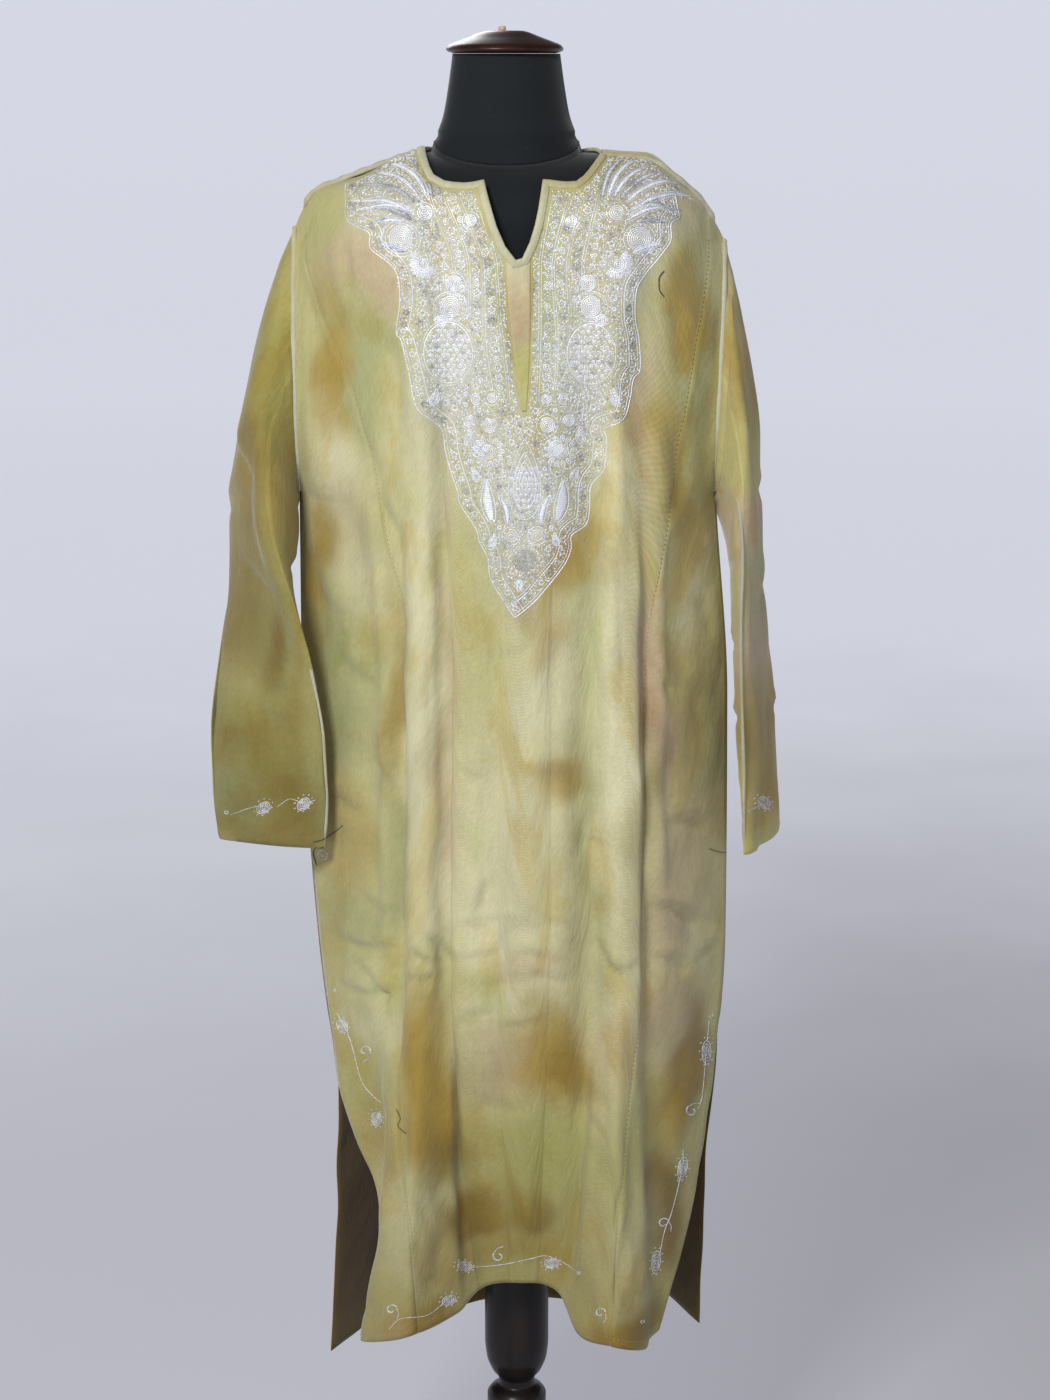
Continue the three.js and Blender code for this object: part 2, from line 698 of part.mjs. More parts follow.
// The first ring of a sleeve lies against the armhole; the others come from the table.
function addSleeve(name, rows, edgeLine, outwards) {
  const keys = ['x', 'y', 'z', 'longX', 'longY', 'longZ', 'shortX', 'shortY', 'shortZ'];
  const stations = rows.map((_, i) => i);
  const curves = Object.fromEntries(keys.map((key) => (
    [key, smoothCurve(stations, rows.map((row) => row[key]))]
  )));
  const topZ = ridgeZ(front.topX(edgeLine));
  const middleZ = (topZ + underarmZ) / 2;
  const halfHeight = (topZ - underarmZ) / 2;
  const around = 18;
  const ring = (t, inset) => spread(0, 2 * Math.PI, around).map((angle) => {
    const size = (length) => (length ? (length - inset) / length : 0);
    if (t < 0) {
      const z = middleZ + (halfHeight - inset) * Math.sin(angle);
      const edge = front.point(edgeLine, front.wAt(edgeLine, Math.min(z, topZ)));
      const open = Math.sign(Math.cos(angle)) * Math.abs(Math.cos(angle)) ** (2 * armholePoint);
      return new THREE.Vector3(edge.x + outwards * 2 * seamGap, (armholeHalf - inset) * open, z);
    }
    const at = Object.fromEntries(keys.map((key) => [key, curves[key](t)]));
    const long = new THREE.Vector3(at.longX, at.longY, at.longZ);
    const short = new THREE.Vector3(at.shortX, at.shortY, at.shortZ);
    return new THREE.Vector3(at.x, at.y, at.z)
      .addScaledVector(long, Math.cos(angle) * size(long.length()))
      .addScaledVector(short, Math.sin(angle) * size(short.length()));
  });
  const steps = [-1, ...spread(0, rows.length - 1, 15)];
  const outer = steps.map((t) => ring(t, 0));
  const inner = steps.map((t) => ring(t, wall));
  const shell = new Shell();
  shell.addGrid(outer);
  shell.addGrid(inner, true);
  shell.addGrid([inner[0], outer[0]]);
  shell.addGrid([outer[outer.length - 1], inner[inner.length - 1]]);
  addPiece(name, shell.toGeometry(), colours.sleeve);
}

// What is sewn onto the front lies on its points, moved out.
function addTrims() {
  const place = (x, z) => {
    const s = front.lineAt(x);
    return [s, front.wAt(s, z)];
  };
  const across = 2;
  // The level part of the neck edge, on each side of the slit.
  const neckSides = [
    ['neck_binding_left', neckline.filter((p) => p.x <= slitCorner.left), 1],
    ['neck_binding_right', neckline.filter((p) => p.x >= slitCorner.right), -1],
  ];
  for (const [name, points, side] of neckSides) {
    const places = spread(0, 1, across).map((v) => points.map((p, i) => {
      const slope = ease((Math.abs(p.x) - 58) / 22);
      const x = p.x - side * bindingWidth * v * slope;
      return place(x, p.z - bindingWidth * v * (1 - 0.55 * slope) - 0.2);
    }));
    addPiece(name, panelGeometry(frontPoint, places, 1, trimLift, trimThickness), colours.binding);
  }
  // The slanting edges of the slit.
  const slitSides = [
    ['slit_binding_left', neckline.filter((p) => p.x >= slitCorner.left && p.x <= 0), -1],
    ['slit_binding_right', neckline.filter((p) => p.x >= 7 && p.x <= slitCorner.right), 1],
  ];
  for (const [name, points, side] of slitSides) {
    const cornerX = side < 0 ? slitCorner.left : slitCorner.right;
    const places = points.map((p) => {
      const z = p.x === cornerX ? p.z - bindingWidth - 1 : p.z;
      return spread(0, 1, across).map((v) => place(p.x + side * (bindingWidth * v + 0.2), z));
    });
    addPiece(name, panelGeometry(frontPoint, places, 1, trimLift, trimThickness), colours.binding);
  }
  const left = columnCurve(placketRows, 'z', 'left');
  const right = columnCurve(placketRows, 'z', 'right');
  const strip = spread(placketRows[0].z, placketRows[placketRows.length - 1].z, 8)
    .map((z) => spread(left(z), right(z), 3).map((x) => place(x, z)));
  addPiece('placket_strip', panelGeometry(frontPoint, strip, 1, trimLift, 1), colours.placket);
  // The bound edge of the back neck.
  const half = (neckPoint.right - neckPoint.left) / 2 - 3;
  const centre = (neckPoint.right + neckPoint.left) / 2;
  const xs = spread(0, Math.PI, 12).map((angle) => centre - half * Math.cos(angle));
  const rows = spread(0, 1, across).map((v) => xs.map((x) => {
    const s = back.lineAt(x);
    return [s, backTopW(s) + 0.4 + bindingWidth * v];
  }));
  const backBinding = panelGeometry(backPoint, rows, -1, trimLift, trimThickness);
  addPiece('neck_binding_back', backBinding, colours.binding);
}

// ---- The form and its stand ----

const torsoCurves = Object.fromEntries(
  ['halfWidth', 'front', 'back'].map((key) => [key, columnCurve(torsoRows, 'z', key)]),
);
const bodyRound = 2.3; // how square the sections are

function torsoPoint(topX, w, facing) {
  const roll = facing < 0 ? frontRoll : backRoll;
  const settle = wall + torsoSettle; // the cloth lies between the form and the ridge
  const bend = roll * Math.PI / 2;
  const angle = Math.min(w / roll, Math.PI / 2);
  const z = w < bend
    ? ridgeZ(topX) - roll + (roll - settle) * Math.cos(angle)
    : ridgeZ(topX) - roll - (w - bend);
  const share = topX / torsoShoulder;
  const depth = torsoCurves[facing < 0 ? 'front' : 'back'](z);
  const round = (1 - Math.min(Math.abs(share), 1) ** bodyRound) ** (1 / bodyRound);
  const y = facing * depth * round * Math.sin(angle);
  return new THREE.Vector3(share * torsoCurves.halfWidth(z), y, z);
}

// The line where the neck joins the form, at an angle from the left (0) round the front to the right.
function neckSeam(angle, facing, drop = 0) {
  const away = Math.sin(angle);
  const low = facing < 0 ? neckRing.frontZ : neckRing.backZ;
  return new THREE.Vector3(
    neckX - neckRing.halfWidth * Math.cos(angle),
    facing * neckRing.halfDepth * away,
    mix(neckRing.sideZ, low, away) - drop,
  );
}

function addTorso() {
  const shell = new Shell();
  const seamAngles = spread(0, Math.PI, 10);
  const outerLeft = spread(-torsoShoulder, neckX - neckRing.halfWidth - 5, 4);
  const outerRight = spread(neckX + neckRing.halfWidth + 5, torsoShoulder, 4);
  const rowCount = 16;
  const halves = [-1, 1].map((facing) => {
    const column = (topX, start, startPoint) => spread(0, 1, rowCount).map((v) => {
      if (v === 0) return startPoint;
      const roll = facing < 0 ? frontRoll : backRoll;
      const bottomW = roll * Math.PI / 2 + ridgeZ(topX) - roll - torsoBottomZ;
      return torsoPoint(topX, mix(start, bottomW, v ** 1.5), facing);
    });
    const ridgeColumn = (x) => column(x, 0, torsoPoint(x, 0, facing));
    const neckColumn = (angle) => {
      const start = neckSeam(angle, facing, seamGap);
      const flank = Math.abs(facing < 0 ? torsoCurves.front(yokeZ) : torsoCurves.back(yokeZ));
      const roll = facing < 0 ? frontRoll : backRoll;
      return column(start.x, roll * Math.asin(Math.min(Math.abs(start.y) / flank, 1)) + 4, start);
    };
    return [
      ...outerLeft.map(ridgeColumn),
      ...seamAngles.map(neckColumn),
      ...outerRight.map(ridgeColumn),
    ];
  });
  // Both halves share the columns at their two ends.
  for (const end of [0, halves[0].length - 1]) {
    halves[1][end] = halves[0][end].map((p) => new THREE.Vector3(p.x, 0, p.z));
    halves[0][end] = halves[1][end];
  }
  shell.addGrid(halves[0]);
  shell.addGrid(halves[1], true);
  const loop = (row) => [
    ...halves[0].map((column) => column[row]),
    ...halves[1].map((column) => column[row]).slice(1, -1).reverse(),
  ];
  shell.addFan(loop(rowCount), new THREE.Vector3(0, 0, torsoBottomZ), true);
  const ring = [
    ...seamAngles.map((angle) => neckSeam(angle, -1, seamGap)),
    ...seamAngles.slice(1, -1).reverse().map((angle) => neckSeam(angle, 1, seamGap)),
  ];
  const hub = new THREE.Vector3(neckX, 0, neckRing.sideZ - seamGap - 6);
  shell.addFan(ring, hub, false);
  addPiece('form_torso', shell.toGeometry(), colours.jersey, 0.8);
}

function addNeck() {
  const around = 20;
  const angles = spread(0, 2 * Math.PI, around);
  const rings = neckRows.map((row) => angles.map((angle) => new THREE.Vector3(
    neckX - row.halfWidth * Math.cos(angle),
    -row.halfDepth * Math.sin(angle),
    row.z,
  )));
  rings.push(angles.map((angle) => (
    angle > Math.PI ? neckSeam(2 * Math.PI - angle, 1) : neckSeam(angle, -1)
  )));
  const shell = new Shell();
  shell.addGrid(rings);
  shell.addFan(rings[0].slice(0, -1), new THREE.Vector3(neckX, 0, neckRows[0].z), true);
  const foot = new THREE.Vector3(neckX, 0, neckRing.sideZ - 6);
  shell.addFan(rings[rings.length - 1].slice(0, -1), foot, false);
  addPiece('form_neck', shell.toGeometry(), colours.jersey, 0.8);
}

// A turned piece: its profile closed onto the axis at both ends, spun about Z.
function turned(rows, segments) {
  const first = rows[0];
  const last = rows[rows.length - 1];
  const profile = [{ r: 0, z: first.z }, ...rows, { r: 0, z: last.z }];
  const points = profile.map((row) => new THREE.Vector2(row.r, row.z));
  const geometry = new THREE.LatheGeometry(points, segments).rotateX(Math.PI / 2);
  geometry.deleteAttribute('normal');
  geometry.deleteAttribute('uv');
  const merged = mergeVertices(geometry, 1e-3);
  if (signedVolume(merged) < 0) flipFaces(merged);
  return merged;
}

function addStand() {
  addPiece('stand_base', turned(baseRows, 40), colours.lacquer, 0.25);
  addPiece('pole', turned(poleRows, 20), colours.lacquer, 0.25);
  const cap = turned(capRows, 32).translate(neckX - 1.5, 0, capRimZ);
  addPiece('neck_cap', cap, colours.cap, 0.3);
  const capTop = capRimZ + capRows[capRows.length - 1].z;
  const peg = turned([{ r: 3.4, z: 0 }, { r: 3.6, z: 2 }, { r: 3, z: 4.2 }], 12);
  addPiece('cap_peg', peg.translate(neckX - 4, 0, capTop + seamGap), colours.peg, 0.7);
}

addBody();
addSleeve('sleeve_left', sleeveRows.left, 0, -1);
addSleeve('sleeve_right', sleeveRows.right, front.lastLine, 1);
addTrims();
addTorso();
addNeck();
addStand();

export default part;
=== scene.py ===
import math

import bpy
import numpy as np
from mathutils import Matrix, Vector
from mathutils.bvhtree import BVHTree
import bmesh


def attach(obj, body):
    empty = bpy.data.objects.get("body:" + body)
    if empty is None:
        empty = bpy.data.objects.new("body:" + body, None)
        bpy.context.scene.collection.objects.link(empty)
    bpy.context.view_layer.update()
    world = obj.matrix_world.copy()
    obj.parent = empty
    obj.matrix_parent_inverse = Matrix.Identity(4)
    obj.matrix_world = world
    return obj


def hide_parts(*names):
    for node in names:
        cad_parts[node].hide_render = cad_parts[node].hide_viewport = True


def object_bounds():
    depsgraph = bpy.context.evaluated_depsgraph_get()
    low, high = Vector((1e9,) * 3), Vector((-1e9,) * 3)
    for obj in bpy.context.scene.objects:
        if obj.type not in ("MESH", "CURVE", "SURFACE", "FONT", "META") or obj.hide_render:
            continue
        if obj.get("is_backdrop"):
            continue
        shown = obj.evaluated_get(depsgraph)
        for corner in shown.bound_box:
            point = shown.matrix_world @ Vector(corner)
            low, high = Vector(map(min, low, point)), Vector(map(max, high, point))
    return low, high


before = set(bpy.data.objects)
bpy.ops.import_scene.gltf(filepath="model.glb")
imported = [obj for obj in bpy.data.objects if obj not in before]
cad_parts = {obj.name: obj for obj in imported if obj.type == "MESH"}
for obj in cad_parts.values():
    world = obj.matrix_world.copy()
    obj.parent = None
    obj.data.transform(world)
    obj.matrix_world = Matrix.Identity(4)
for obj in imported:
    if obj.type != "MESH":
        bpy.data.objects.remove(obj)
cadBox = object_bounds()
scene = bpy.context.scene
scene.view_settings.view_transform = "Standard"

# Every shape below is worked out in millimetres and goes into its mesh in metres.
mm = 0.001

view = {"x": 8.8, "y": -2800.0, "z": 1580.0, "pitchDown": 12.81, "lens": 98.0}


def addCamera():
    cameraData = bpy.data.cameras.new("camera")
    cameraData.sensor_fit = "HORIZONTAL"
    cameraData.sensor_width = 36.0
    cameraData.lens = view["lens"]
    camera = bpy.data.objects.new("camera", cameraData)
    camera.location = (view["x"] * mm, view["y"] * mm, view["z"] * mm)
    camera.rotation_euler = (math.radians(90 - view["pitchDown"]), 0, 0)
    scene.collection.objects.link(camera)
    scene.camera = camera


addCamera()


class Value:
    # Wraps a socket, so that an expression on values adds its Math nodes.
    def __init__(self, tree, socket):
        self.tree = tree
        self.socket = socket

    def math(self, operation, first, second):
        return self.tree.node("ShaderNodeMath", {"operation": operation}, {0: first, 1: second})

    def __add__(self, other):
        return self.math("ADD", self, other)

    def __radd__(self, other):
        return self.math("ADD", other, self)

    def __sub__(self, other):
        return self.math("SUBTRACT", self, other)

    def __rsub__(self, other):
        return self.math("SUBTRACT", other, self)

    def __mul__(self, other):
        return self.math("MULTIPLY", self, other)

    def __rmul__(self, other):
        return self.math("MULTIPLY", other, self)


class Finish:
    # One material and the nodes that make it.
    def __init__(self, name):
        self.material = bpy.data.materials.new(name)
        self.material.use_nodes = True
        self.tree = self.material.node_tree
        self.tree.nodes.clear()

    def node(self, kind, settings=None, inputs=None, output=0):
        made = self.tree.nodes.new(kind)
        for key, setting in (settings or {}).items():
            if key == "stops":
                for i, (place, colour) in enumerate(setting):
                    stops = made.color_ramp.elements
                    stop = stops[i] if i < 2 else stops.new(place)
                    stop.position = place
                    stop.color = colour
            else:
                setattr(made, key, setting)
        for key, given in (inputs or {}).items():
            if isinstance(given, Value):
                self.tree.links.new(given.socket, made.inputs[key])
            else:
                made.inputs[key].default_value = given
        return Value(self, made.outputs[output])

    def place(self, scale=(1, 1, 1), turn=(0, 0, 0)):
        spot = self.node("ShaderNodeTexCoord", output="Object")
        given = {"Vector": spot, "Scale": scale, "Rotation": turn}
        return self.node("ShaderNodeMapping", {}, given)

    def clothPlace(self, scale=(1, 1, 1), turn=0.0):
        spot = self.node("ShaderNodeUVMap", {"uv_map": "cloth"})
        turned = {"Vector": spot, "Rotation": (0, 0, turn)}
        straight = self.node("ShaderNodeMapping", {}, turned)
        return self.node("ShaderNodeMapping", {}, {"Vector": straight, "Scale": scale})

    def noise(self, place, scale, detail=2.0, roughness=0.5):
        given = {"Vector": place, "Scale": scale, "Detail": detail, "Roughness": roughness}
        return self.node("ShaderNodeTexNoise", {}, given, "Fac")

    def ribs(self, place, pitch, direction, distortion, detail=2.0, detailScale=1.0):
        # Straight waves, one for each pitch: the node makes twenty over two pi.
        given = {
            "Vector": place, "Scale": 2 * math.pi / (20 * pitch * mm), "Distortion": distortion,
            "Detail": detail, "Detail Scale": detailScale,
        }
        settings = {"bands_direction": direction, "wave_profile": "SIN"}
        return self.node("ShaderNodeTexWave", settings, given, "Fac")

    def spread(self, value, low, high, outLow=0.0, outHigh=1.0):
        given = {0: value, 1: low, 2: high, 3: outLow, 4: outHigh}
        return self.node("ShaderNodeMapRange", {"interpolation_type": "SMOOTHSTEP"}, given)

    def mix(self, factor, first, second, blend="MIX"):
        settings = {"data_type": "RGBA", "blend_type": blend}
        return self.node("ShaderNodeMix", settings, {0: factor, 6: first, 7: second}, 2)

    def bump(self, height, strength, distance, normal=None):
        given = {"Height": height, "Strength": strength, "Distance": distance}
        if normal is not None:
            given["Normal"] = normal
        return self.node("ShaderNodeBump", {}, given)

    def finish(self, **inputs):
        named = {key.replace("_", " "): given for key, given in inputs.items()}
        surface = self.node("ShaderNodeBsdfPrincipled", {}, named)
        out = self.tree.nodes.new("ShaderNodeOutputMaterial")
        self.tree.links.new(surface.socket, out.inputs["Surface"])
        return self.material


clothColours = {  # the dyes of the twill, as linear colours
    "base": (0.50, 0.46, 0.205),
    "cream": (0.655, 0.62, 0.385),
    "ochre": (0.39, 0.27, 0.055),
    "olive": (0.33, 0.255, 0.075),
    "green": (0.375, 0.385, 0.18),
    "lime": (0.44, 0.43, 0.15),
    "pink": (0.50, 0.385, 0.25),
    "brown": (0.225, 0.145, 0.035),
    "silver": (0.58, 0.575, 0.47),
}
twill = {"pitch": 1.75, "turn": 0.72, "depth": 0.00016, "sheen": 0.25}
# Rust, moss and pale patches: stretch, turn, scale, detail, roughness, from, to, amount, tint.
twillPatches = [
    (0.7, 0.2, 11.0, 7.0, 0.62, 0.51, 0.6, 0.5, (0.9, 0.76, 0.45)),
    (0.6, 0.4, 14.0, 7.0, 0.6, 0.55, 0.7, 0.5, (0.8, 0.92, 0.62)),
    (0.55, 0.1, 8.0, 6.0, 0.6, 0.5, 0.66, 0.35, (1.13, 1.15, 1.2)),
]


def makeTwill(name):
    look = Finish(name)
    # The "dye" attribute is the cloth's dye with painted shade and painted highlight in it: darker
    # inside the garment and towards the hem, lighter along the sleeves' folds.
    dye = look.node("ShaderNodeAttribute", {"attribute_name": "dye"}, {}, "Color")
    spot = look.clothPlace((1, 1, 1))
    ribs = look.ribs(look.clothPlace((1, 1, 1), twill["turn"]), twill["pitch"], "X", 0.6, 1.0, 3.0)
    streakPlace = look.clothPlace((1, 0.22, 1), twill["turn"])
    streaks = look.noise(streakPlace, 1.0 / (twill["pitch"] * mm), 1.0, 0.5)
    ribs = 0.6 * ribs + 0.5 * look.spread(streaks, 0.35, 0.65)
    threads = look.noise(look.clothPlace((1, 0.16, 1), 0.0), 900.0, 2.0)
    slub = look.noise(look.clothPlace((1, 0.05, 1), 0.0), 260.0, 3.0)
    cloudy = look.noise(spot, 22.0, 4.0, 0.6)
    soft = look.noise(spot, 7.0, 3.0, 0.55)
    shade = 0.85 + 0.15 * ribs + 0.16 * (threads - 0.5) + 0.12 * (slub - 0.5)
    shade = shade + 0.3 * (cloudy - 0.5) + 0.2 * (soft - 0.5)
    grey = look.node("ShaderNodeCombineColor", {}, {0: shade, 1: shade, 2: shade})
    for stretch, turn, scale, detail, rough, low, high, amount, tint in twillPatches:
        patch = look.noise(look.clothPlace((1, stretch, 1), turn), scale, detail, rough)
        tinted = look.mix(1.0, dye, tint + (1.0,), "MULTIPLY")
        dye = look.mix(look.spread(patch, low, high) * amount, dye, tinted)
    colour = look.mix(1.0, dye, grey, "MULTIPLY")
    nap = look.noise(spot, 420.0, 3.0, 0.6)
    crumple = look.noise(look.clothPlace((1, 0.45, 1), 0.35), 38.0, 4.0, 0.55)
    normal = look.bump(crumple, 0.45, 0.006)
    wrinkle = look.noise(look.clothPlace((0.6, 1, 1), 0.2), 120.0, 3.0, 0.5)
    normal = look.bump(wrinkle, 0.35, 0.0014, normal)
    normal = look.bump(ribs + 0.35 * threads + 0.3 * nap, 0.55, twill["depth"], normal)
    roughness = look.spread(cloudy, 0.25, 0.75, 0.92, 0.8)
    return look.finish(
        Base_Color=colour, Roughness=roughness, Normal=normal, Sheen_Weight=twill["sheen"],
        Sheen_Roughness=0.45, Specular_IOR_Level=0.25,
    )


def makeJersey(name):
    look = Finish(name)
    spot = look.place()
    ribs, rows = look.ribs(spot, 1.3, "X", 0.8), look.ribs(spot, 1.1, "Z", 0.8)
    lint = look.spread(look.noise(spot, 260.0, 4.0, 0.65), 0.66, 0.78)
    cloudy = look.noise(spot, 14.0, 3.0)
    knit = 0.6 + 0.35 * ribs * rows + 0.5 * (cloudy - 0.5)
    grey = look.node("ShaderNodeCombineColor", {}, {0: knit, 1: knit, 2: knit})
    colour = look.mix(1.0, (0.0085, 0.012, 0.015, 1.0), grey, "MULTIPLY")
    colour = look.mix(lint * 0.35, colour, (0.10, 0.10, 0.11, 1.0))
    normal = look.bump(ribs * rows, 0.35, 0.00025)
    return look.finish(
        Base_Color=colour, Roughness=0.86, Normal=normal, Sheen_Weight=0.35,
        Sheen_Roughness=0.35, Specular_IOR_Level=0.3,
    )


def makeLacquer(name, dark, light, streaks):
    look = Finish(name)
    grainPlace = look.place(streaks)
    grain = look.noise(grainPlace, 60.0, 5.0, 0.6)
    wide = look.noise(grainPlace, 14.0, 3.0, 0.5)
    colour = look.mix(look.spread(grain * 0.6 + wide * 0.4, 0.35, 0.7), dark, light)
    dust = look.spread(look.noise(look.place(), 700.0, 3.0, 0.7), 0.6, 0.8)
    colour = look.mix(dust * 0.1, colour, (0.06, 0.055, 0.055, 1.0))
    roughness = 0.27 + 0.16 * look.noise(look.place(), 35.0, 4.0) + 0.12 * dust
    normal = look.bump(grain, 0.08, 0.0003)
    return look.finish(
        Base_Color=colour, Roughness=roughness, Normal=normal, Coat_Weight=0.1,
        Coat_Roughness=0.15, Specular_IOR_Level=0.22,
    )


def makeBareWood(name):
    look = Finish(name)
    grain = look.noise(look.place((1, 1, 0.15)), 900.0, 4.0, 0.6)
    colour = look.mix(grain, (0.38, 0.25, 0.13, 1.0), (0.72, 0.57, 0.38, 1.0))
    normal = look.bump(grain, 0.3, 0.0002)
    return look.finish(Base_Color=colour, Roughness=0.65, Normal=normal)


def makeTilla(name):
    # Silver wire wound on a thread: metal, its brightness from stitch to stitch in "tone".
    look = Finish(name)
    spot = look.place()
    tone = look.node("ShaderNodeAttribute", {"attribute_name": "tone"}, {}, "Fac")
    glint = look.noise(spot, 1900.0, 2.0, 0.7)
    worn = look.spread(look.noise(spot, 60.0, 4.0, 0.6), 0.4, 0.75)
    bright = look.spread(tone + 0.5 * (glint - 0.5) - 0.25 * worn, 0.05, 0.9)
    silver = look.mix(bright, (0.33, 0.345, 0.40, 1.0), (0.90, 0.925, 1.0, 1.0))
    roughness = 0.26 + 0.25 * glint
    normal = look.bump(look.noise(spot, 1500.0, 2.0), 0.5, 0.0003)
    return look.finish(Base_Color=silver, Metallic=0.3, Roughness=roughness, Normal=normal)


def makeThread(name, colour):
    look = Finish(name)
    fibre = look.noise(look.place(), 2600.0, 3.0, 0.6)
    dark = tuple(part * 0.62 for part in colour) + (1.0,)
    body = look.mix(fibre, dark, colour + (1.0,))
    normal = look.bump(fibre, 0.4, 0.0001)
    return look.finish(Base_Color=body, Roughness=0.8, Normal=normal, Sheen_Weight=0.2)


def makeFloor(name, near, far, side):
    # Pale paper with painted light: a glow of its own, brighter far off, with painted shade near
    # by that is darker to the right as a painted shadow.
    look = Finish(name)
    spot = look.place()
    away = look.node("ShaderNodeVectorMath", {"operation": "LENGTH"}, {0: spot}, "Value")
    across = look.node("ShaderNodeSeparateXYZ", {}, {"Vector": spot}, "X")
    cloudy = look.noise(spot, 1.4, 4.0, 0.55)
    glow = look.mix(look.spread(across, -0.2, 1.0), near, side)
    glow = look.mix(look.spread(away + 1.2 * (cloudy - 0.5), 0.8, 5.4), glow, far)
    made = look.finish(
        Base_Color=(0.28, 0.28, 0.3, 1.0), Emission_Color=glow, Emission_Strength=1.0,
        Roughness=0.95 - 0.05 * cloudy, Specular_IOR_Level=0.1,
    )
    made.cycles.emission_sampling = "NONE"
    return made


twillLook = makeTwill("dyedTwill")
placketLook = makeTwill("placketCloth")
jerseyLook = makeJersey("blackJersey")
blackLacquer = makeLacquer(
    "blackLacquer", (0.006, 0.005, 0.005, 1), (0.02, 0.014, 0.012, 1), (1, 1, 0.1),
)
brownLacquer = makeLacquer(
    "brownLacquer", (0.012, 0.005, 0.003, 1), (0.05, 0.018, 0.009, 1), (0.2, 1, 1),
)
pegLook = makeBareWood("pegWood")
tillaLook = makeTilla("silverTilla")
seamThread = makeThread("seamThread", (0.52, 0.46, 0.27))
brownThread = makeThread("brownThread", (0.07, 0.035, 0.02))
# The glow near by, far off and near by to the right: painted light, with painted shade and a
# painted shadow near by.
floorLook = makeFloor(
    "paleFloor", (0.30, 0.305, 0.35, 1.0), (0.565, 0.585, 0.655, 1.0), (0.21, 0.205, 0.23, 1.0),
)
print("materials done")


def makeMesh(name, vertices, faces, look):
    mesh = bpy.data.meshes.new(name)
    faces = faces if isinstance(faces, list) else faces.tolist()
    mesh.from_pydata((vertices.reshape(-1, 3) * mm).tolist(), [], faces)
    mesh.materials.append(look)
    mesh.polygons.foreach_set("use_smooth", np.ones(len(mesh.polygons), bool))
    mesh.update()
    piece = bpy.data.objects.new(name, mesh)
    scene.collection.objects.link(piece)
    return piece


def gridFaces(rows, columns, start=0, flip=False):
    # Quads of a grid of points numbered row by row.
    i, j = np.meshgrid(np.arange(rows - 1), np.arange(columns - 1), indexing="ij")
    a = (i * columns + j).ravel() + start
    quads = np.stack([a, a + 1, a + columns + 1, a + columns], axis=1)
    return quads[:, ::-1] if flip else quads


def tubeFaces(rows, around):
    # Quads of rings of points, each joined to the next.
    i, j = np.meshgrid(np.arange(rows - 1), np.arange(around), indexing="ij")
    a = (i * around + j).ravel()
    b = (i * around + (j + 1) % around).ravel()
    return np.stack([a, b, b + around, a + around], axis=1)


def rimFaces(rows, columns, inner, flip=False):
    # Quads round the four edges that join an outer grid to the inner grid that starts at inner.
    top = np.arange(columns)
    bottom = (rows - 1) * columns + top
    left = np.arange(rows) * columns
    right = left + columns - 1
    quads = []
    for line, turned in ((top, False), (bottom, True), (left, True), (right, False)):
        a, b = line[:-1], line[1:]
        ring = np.stack([a + inner, b + inner, b, a], axis=1)
        quads.append(ring[:, ::-1] if turned else ring)
    quads = np.concatenate(quads)
    return quads[:, ::-1] if flip else quads


def wall(outer, inner, backwards=False):
    # The points and faces of a closed shell between two grids of points.
    rows, columns = outer.shape[:2]
    vertices = np.concatenate([outer.reshape(-1, 3), inner.reshape(-1, 3)])
    inside = rows * columns
    return vertices, np.concatenate([
        gridFaces(rows, columns, 0, backwards), gridFaces(rows, columns, inside, not backwards),
        rimFaces(rows, columns, inside, backwards),
    ])


def addLayer(piece, name, values, kind):
    # A colour or a UV map with one value for each vertex.
    mesh = piece.data
    if kind == "colour":
        layer = mesh.color_attributes.new(name, "FLOAT_COLOR", "POINT")
        rgba = np.concatenate([values, np.ones((len(values), 1))], axis=1)
        layer.data.foreach_set("color", rgba.ravel().astype(np.float32))
    else:
        corners = np.empty(len(mesh.loops), dtype=np.int32)
        mesh.loops.foreach_get("vertex_index", corners)
        layer = mesh.uv_layers.new(name=name)
        layer.data.foreach_set("uv", values[corners].ravel().astype(np.float32))


def dress(piece, place, dye, inside=None):
    # Gives cloth its flat place and its dye, and both again to an inner wall, its dye multiplied
    # by inside: below one, a painted shade for the dark inside of the garment.
    place, dye = place.reshape(-1, 2) * mm, dye.reshape(-1, 3)
    if inside is not None:
        place, dye = np.concatenate([place, place]), np.concatenate([dye, dye * np.array(inside)])
    addLayer(piece, "cloth", place, "uv")
    addLayer(piece, "dye", dye, "colour")


def ride(piece, slot, *replaced):
    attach(piece, "root")
    if replaced:
        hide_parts(*replaced)
    return piece


def smoothCurve(places, values):
    # Cubic pieces through the points, whose slopes are the weighted harmonic means of the slopes
    # beside them, so that the curve never swings past a point. One row of values for each curve.
    places = np.asarray(places, float)
    values = np.atleast_2d(np.asarray(values, float))
    order = np.argsort(places)
    places, values = places[order], values[:, order]
    steps = np.diff(places)
    slopes = np.diff(values, axis=1) / steps
    before, after = slopes[:, :-1], slopes[:, 1:]
    same = before * after > 0
    weight = (2 * steps[1:] + steps[:-1]) / (3 * (steps[1:] + steps[:-1]))
    blended = weight / np.where(same, before, 1) + (1 - weight) / np.where(same, after, 1)
    inner = np.where(same, 1 / np.where(same, blended, 1), 0)
    tangents = np.hstack([slopes[:, :1], inner, slopes[:, -1:]])

    def evaluate(at):
        at = np.clip(np.asarray(at, float), places[0], places[-1])
        i = np.clip(np.searchsorted(places, at, side="right") - 1, 0, len(steps) - 1)
        t = (at - places[i]) / steps[i]
        enter, leave = tangents[:, i] * steps[i], tangents[:, i + 1] * steps[i]
        rise = values[:, i + 1] - values[:, i]
        curl = 3 * rise - 2 * enter - leave + t * (enter + leave - 2 * rise)
        return values[:, i] + t * (enter + t * curl)

    return evaluate


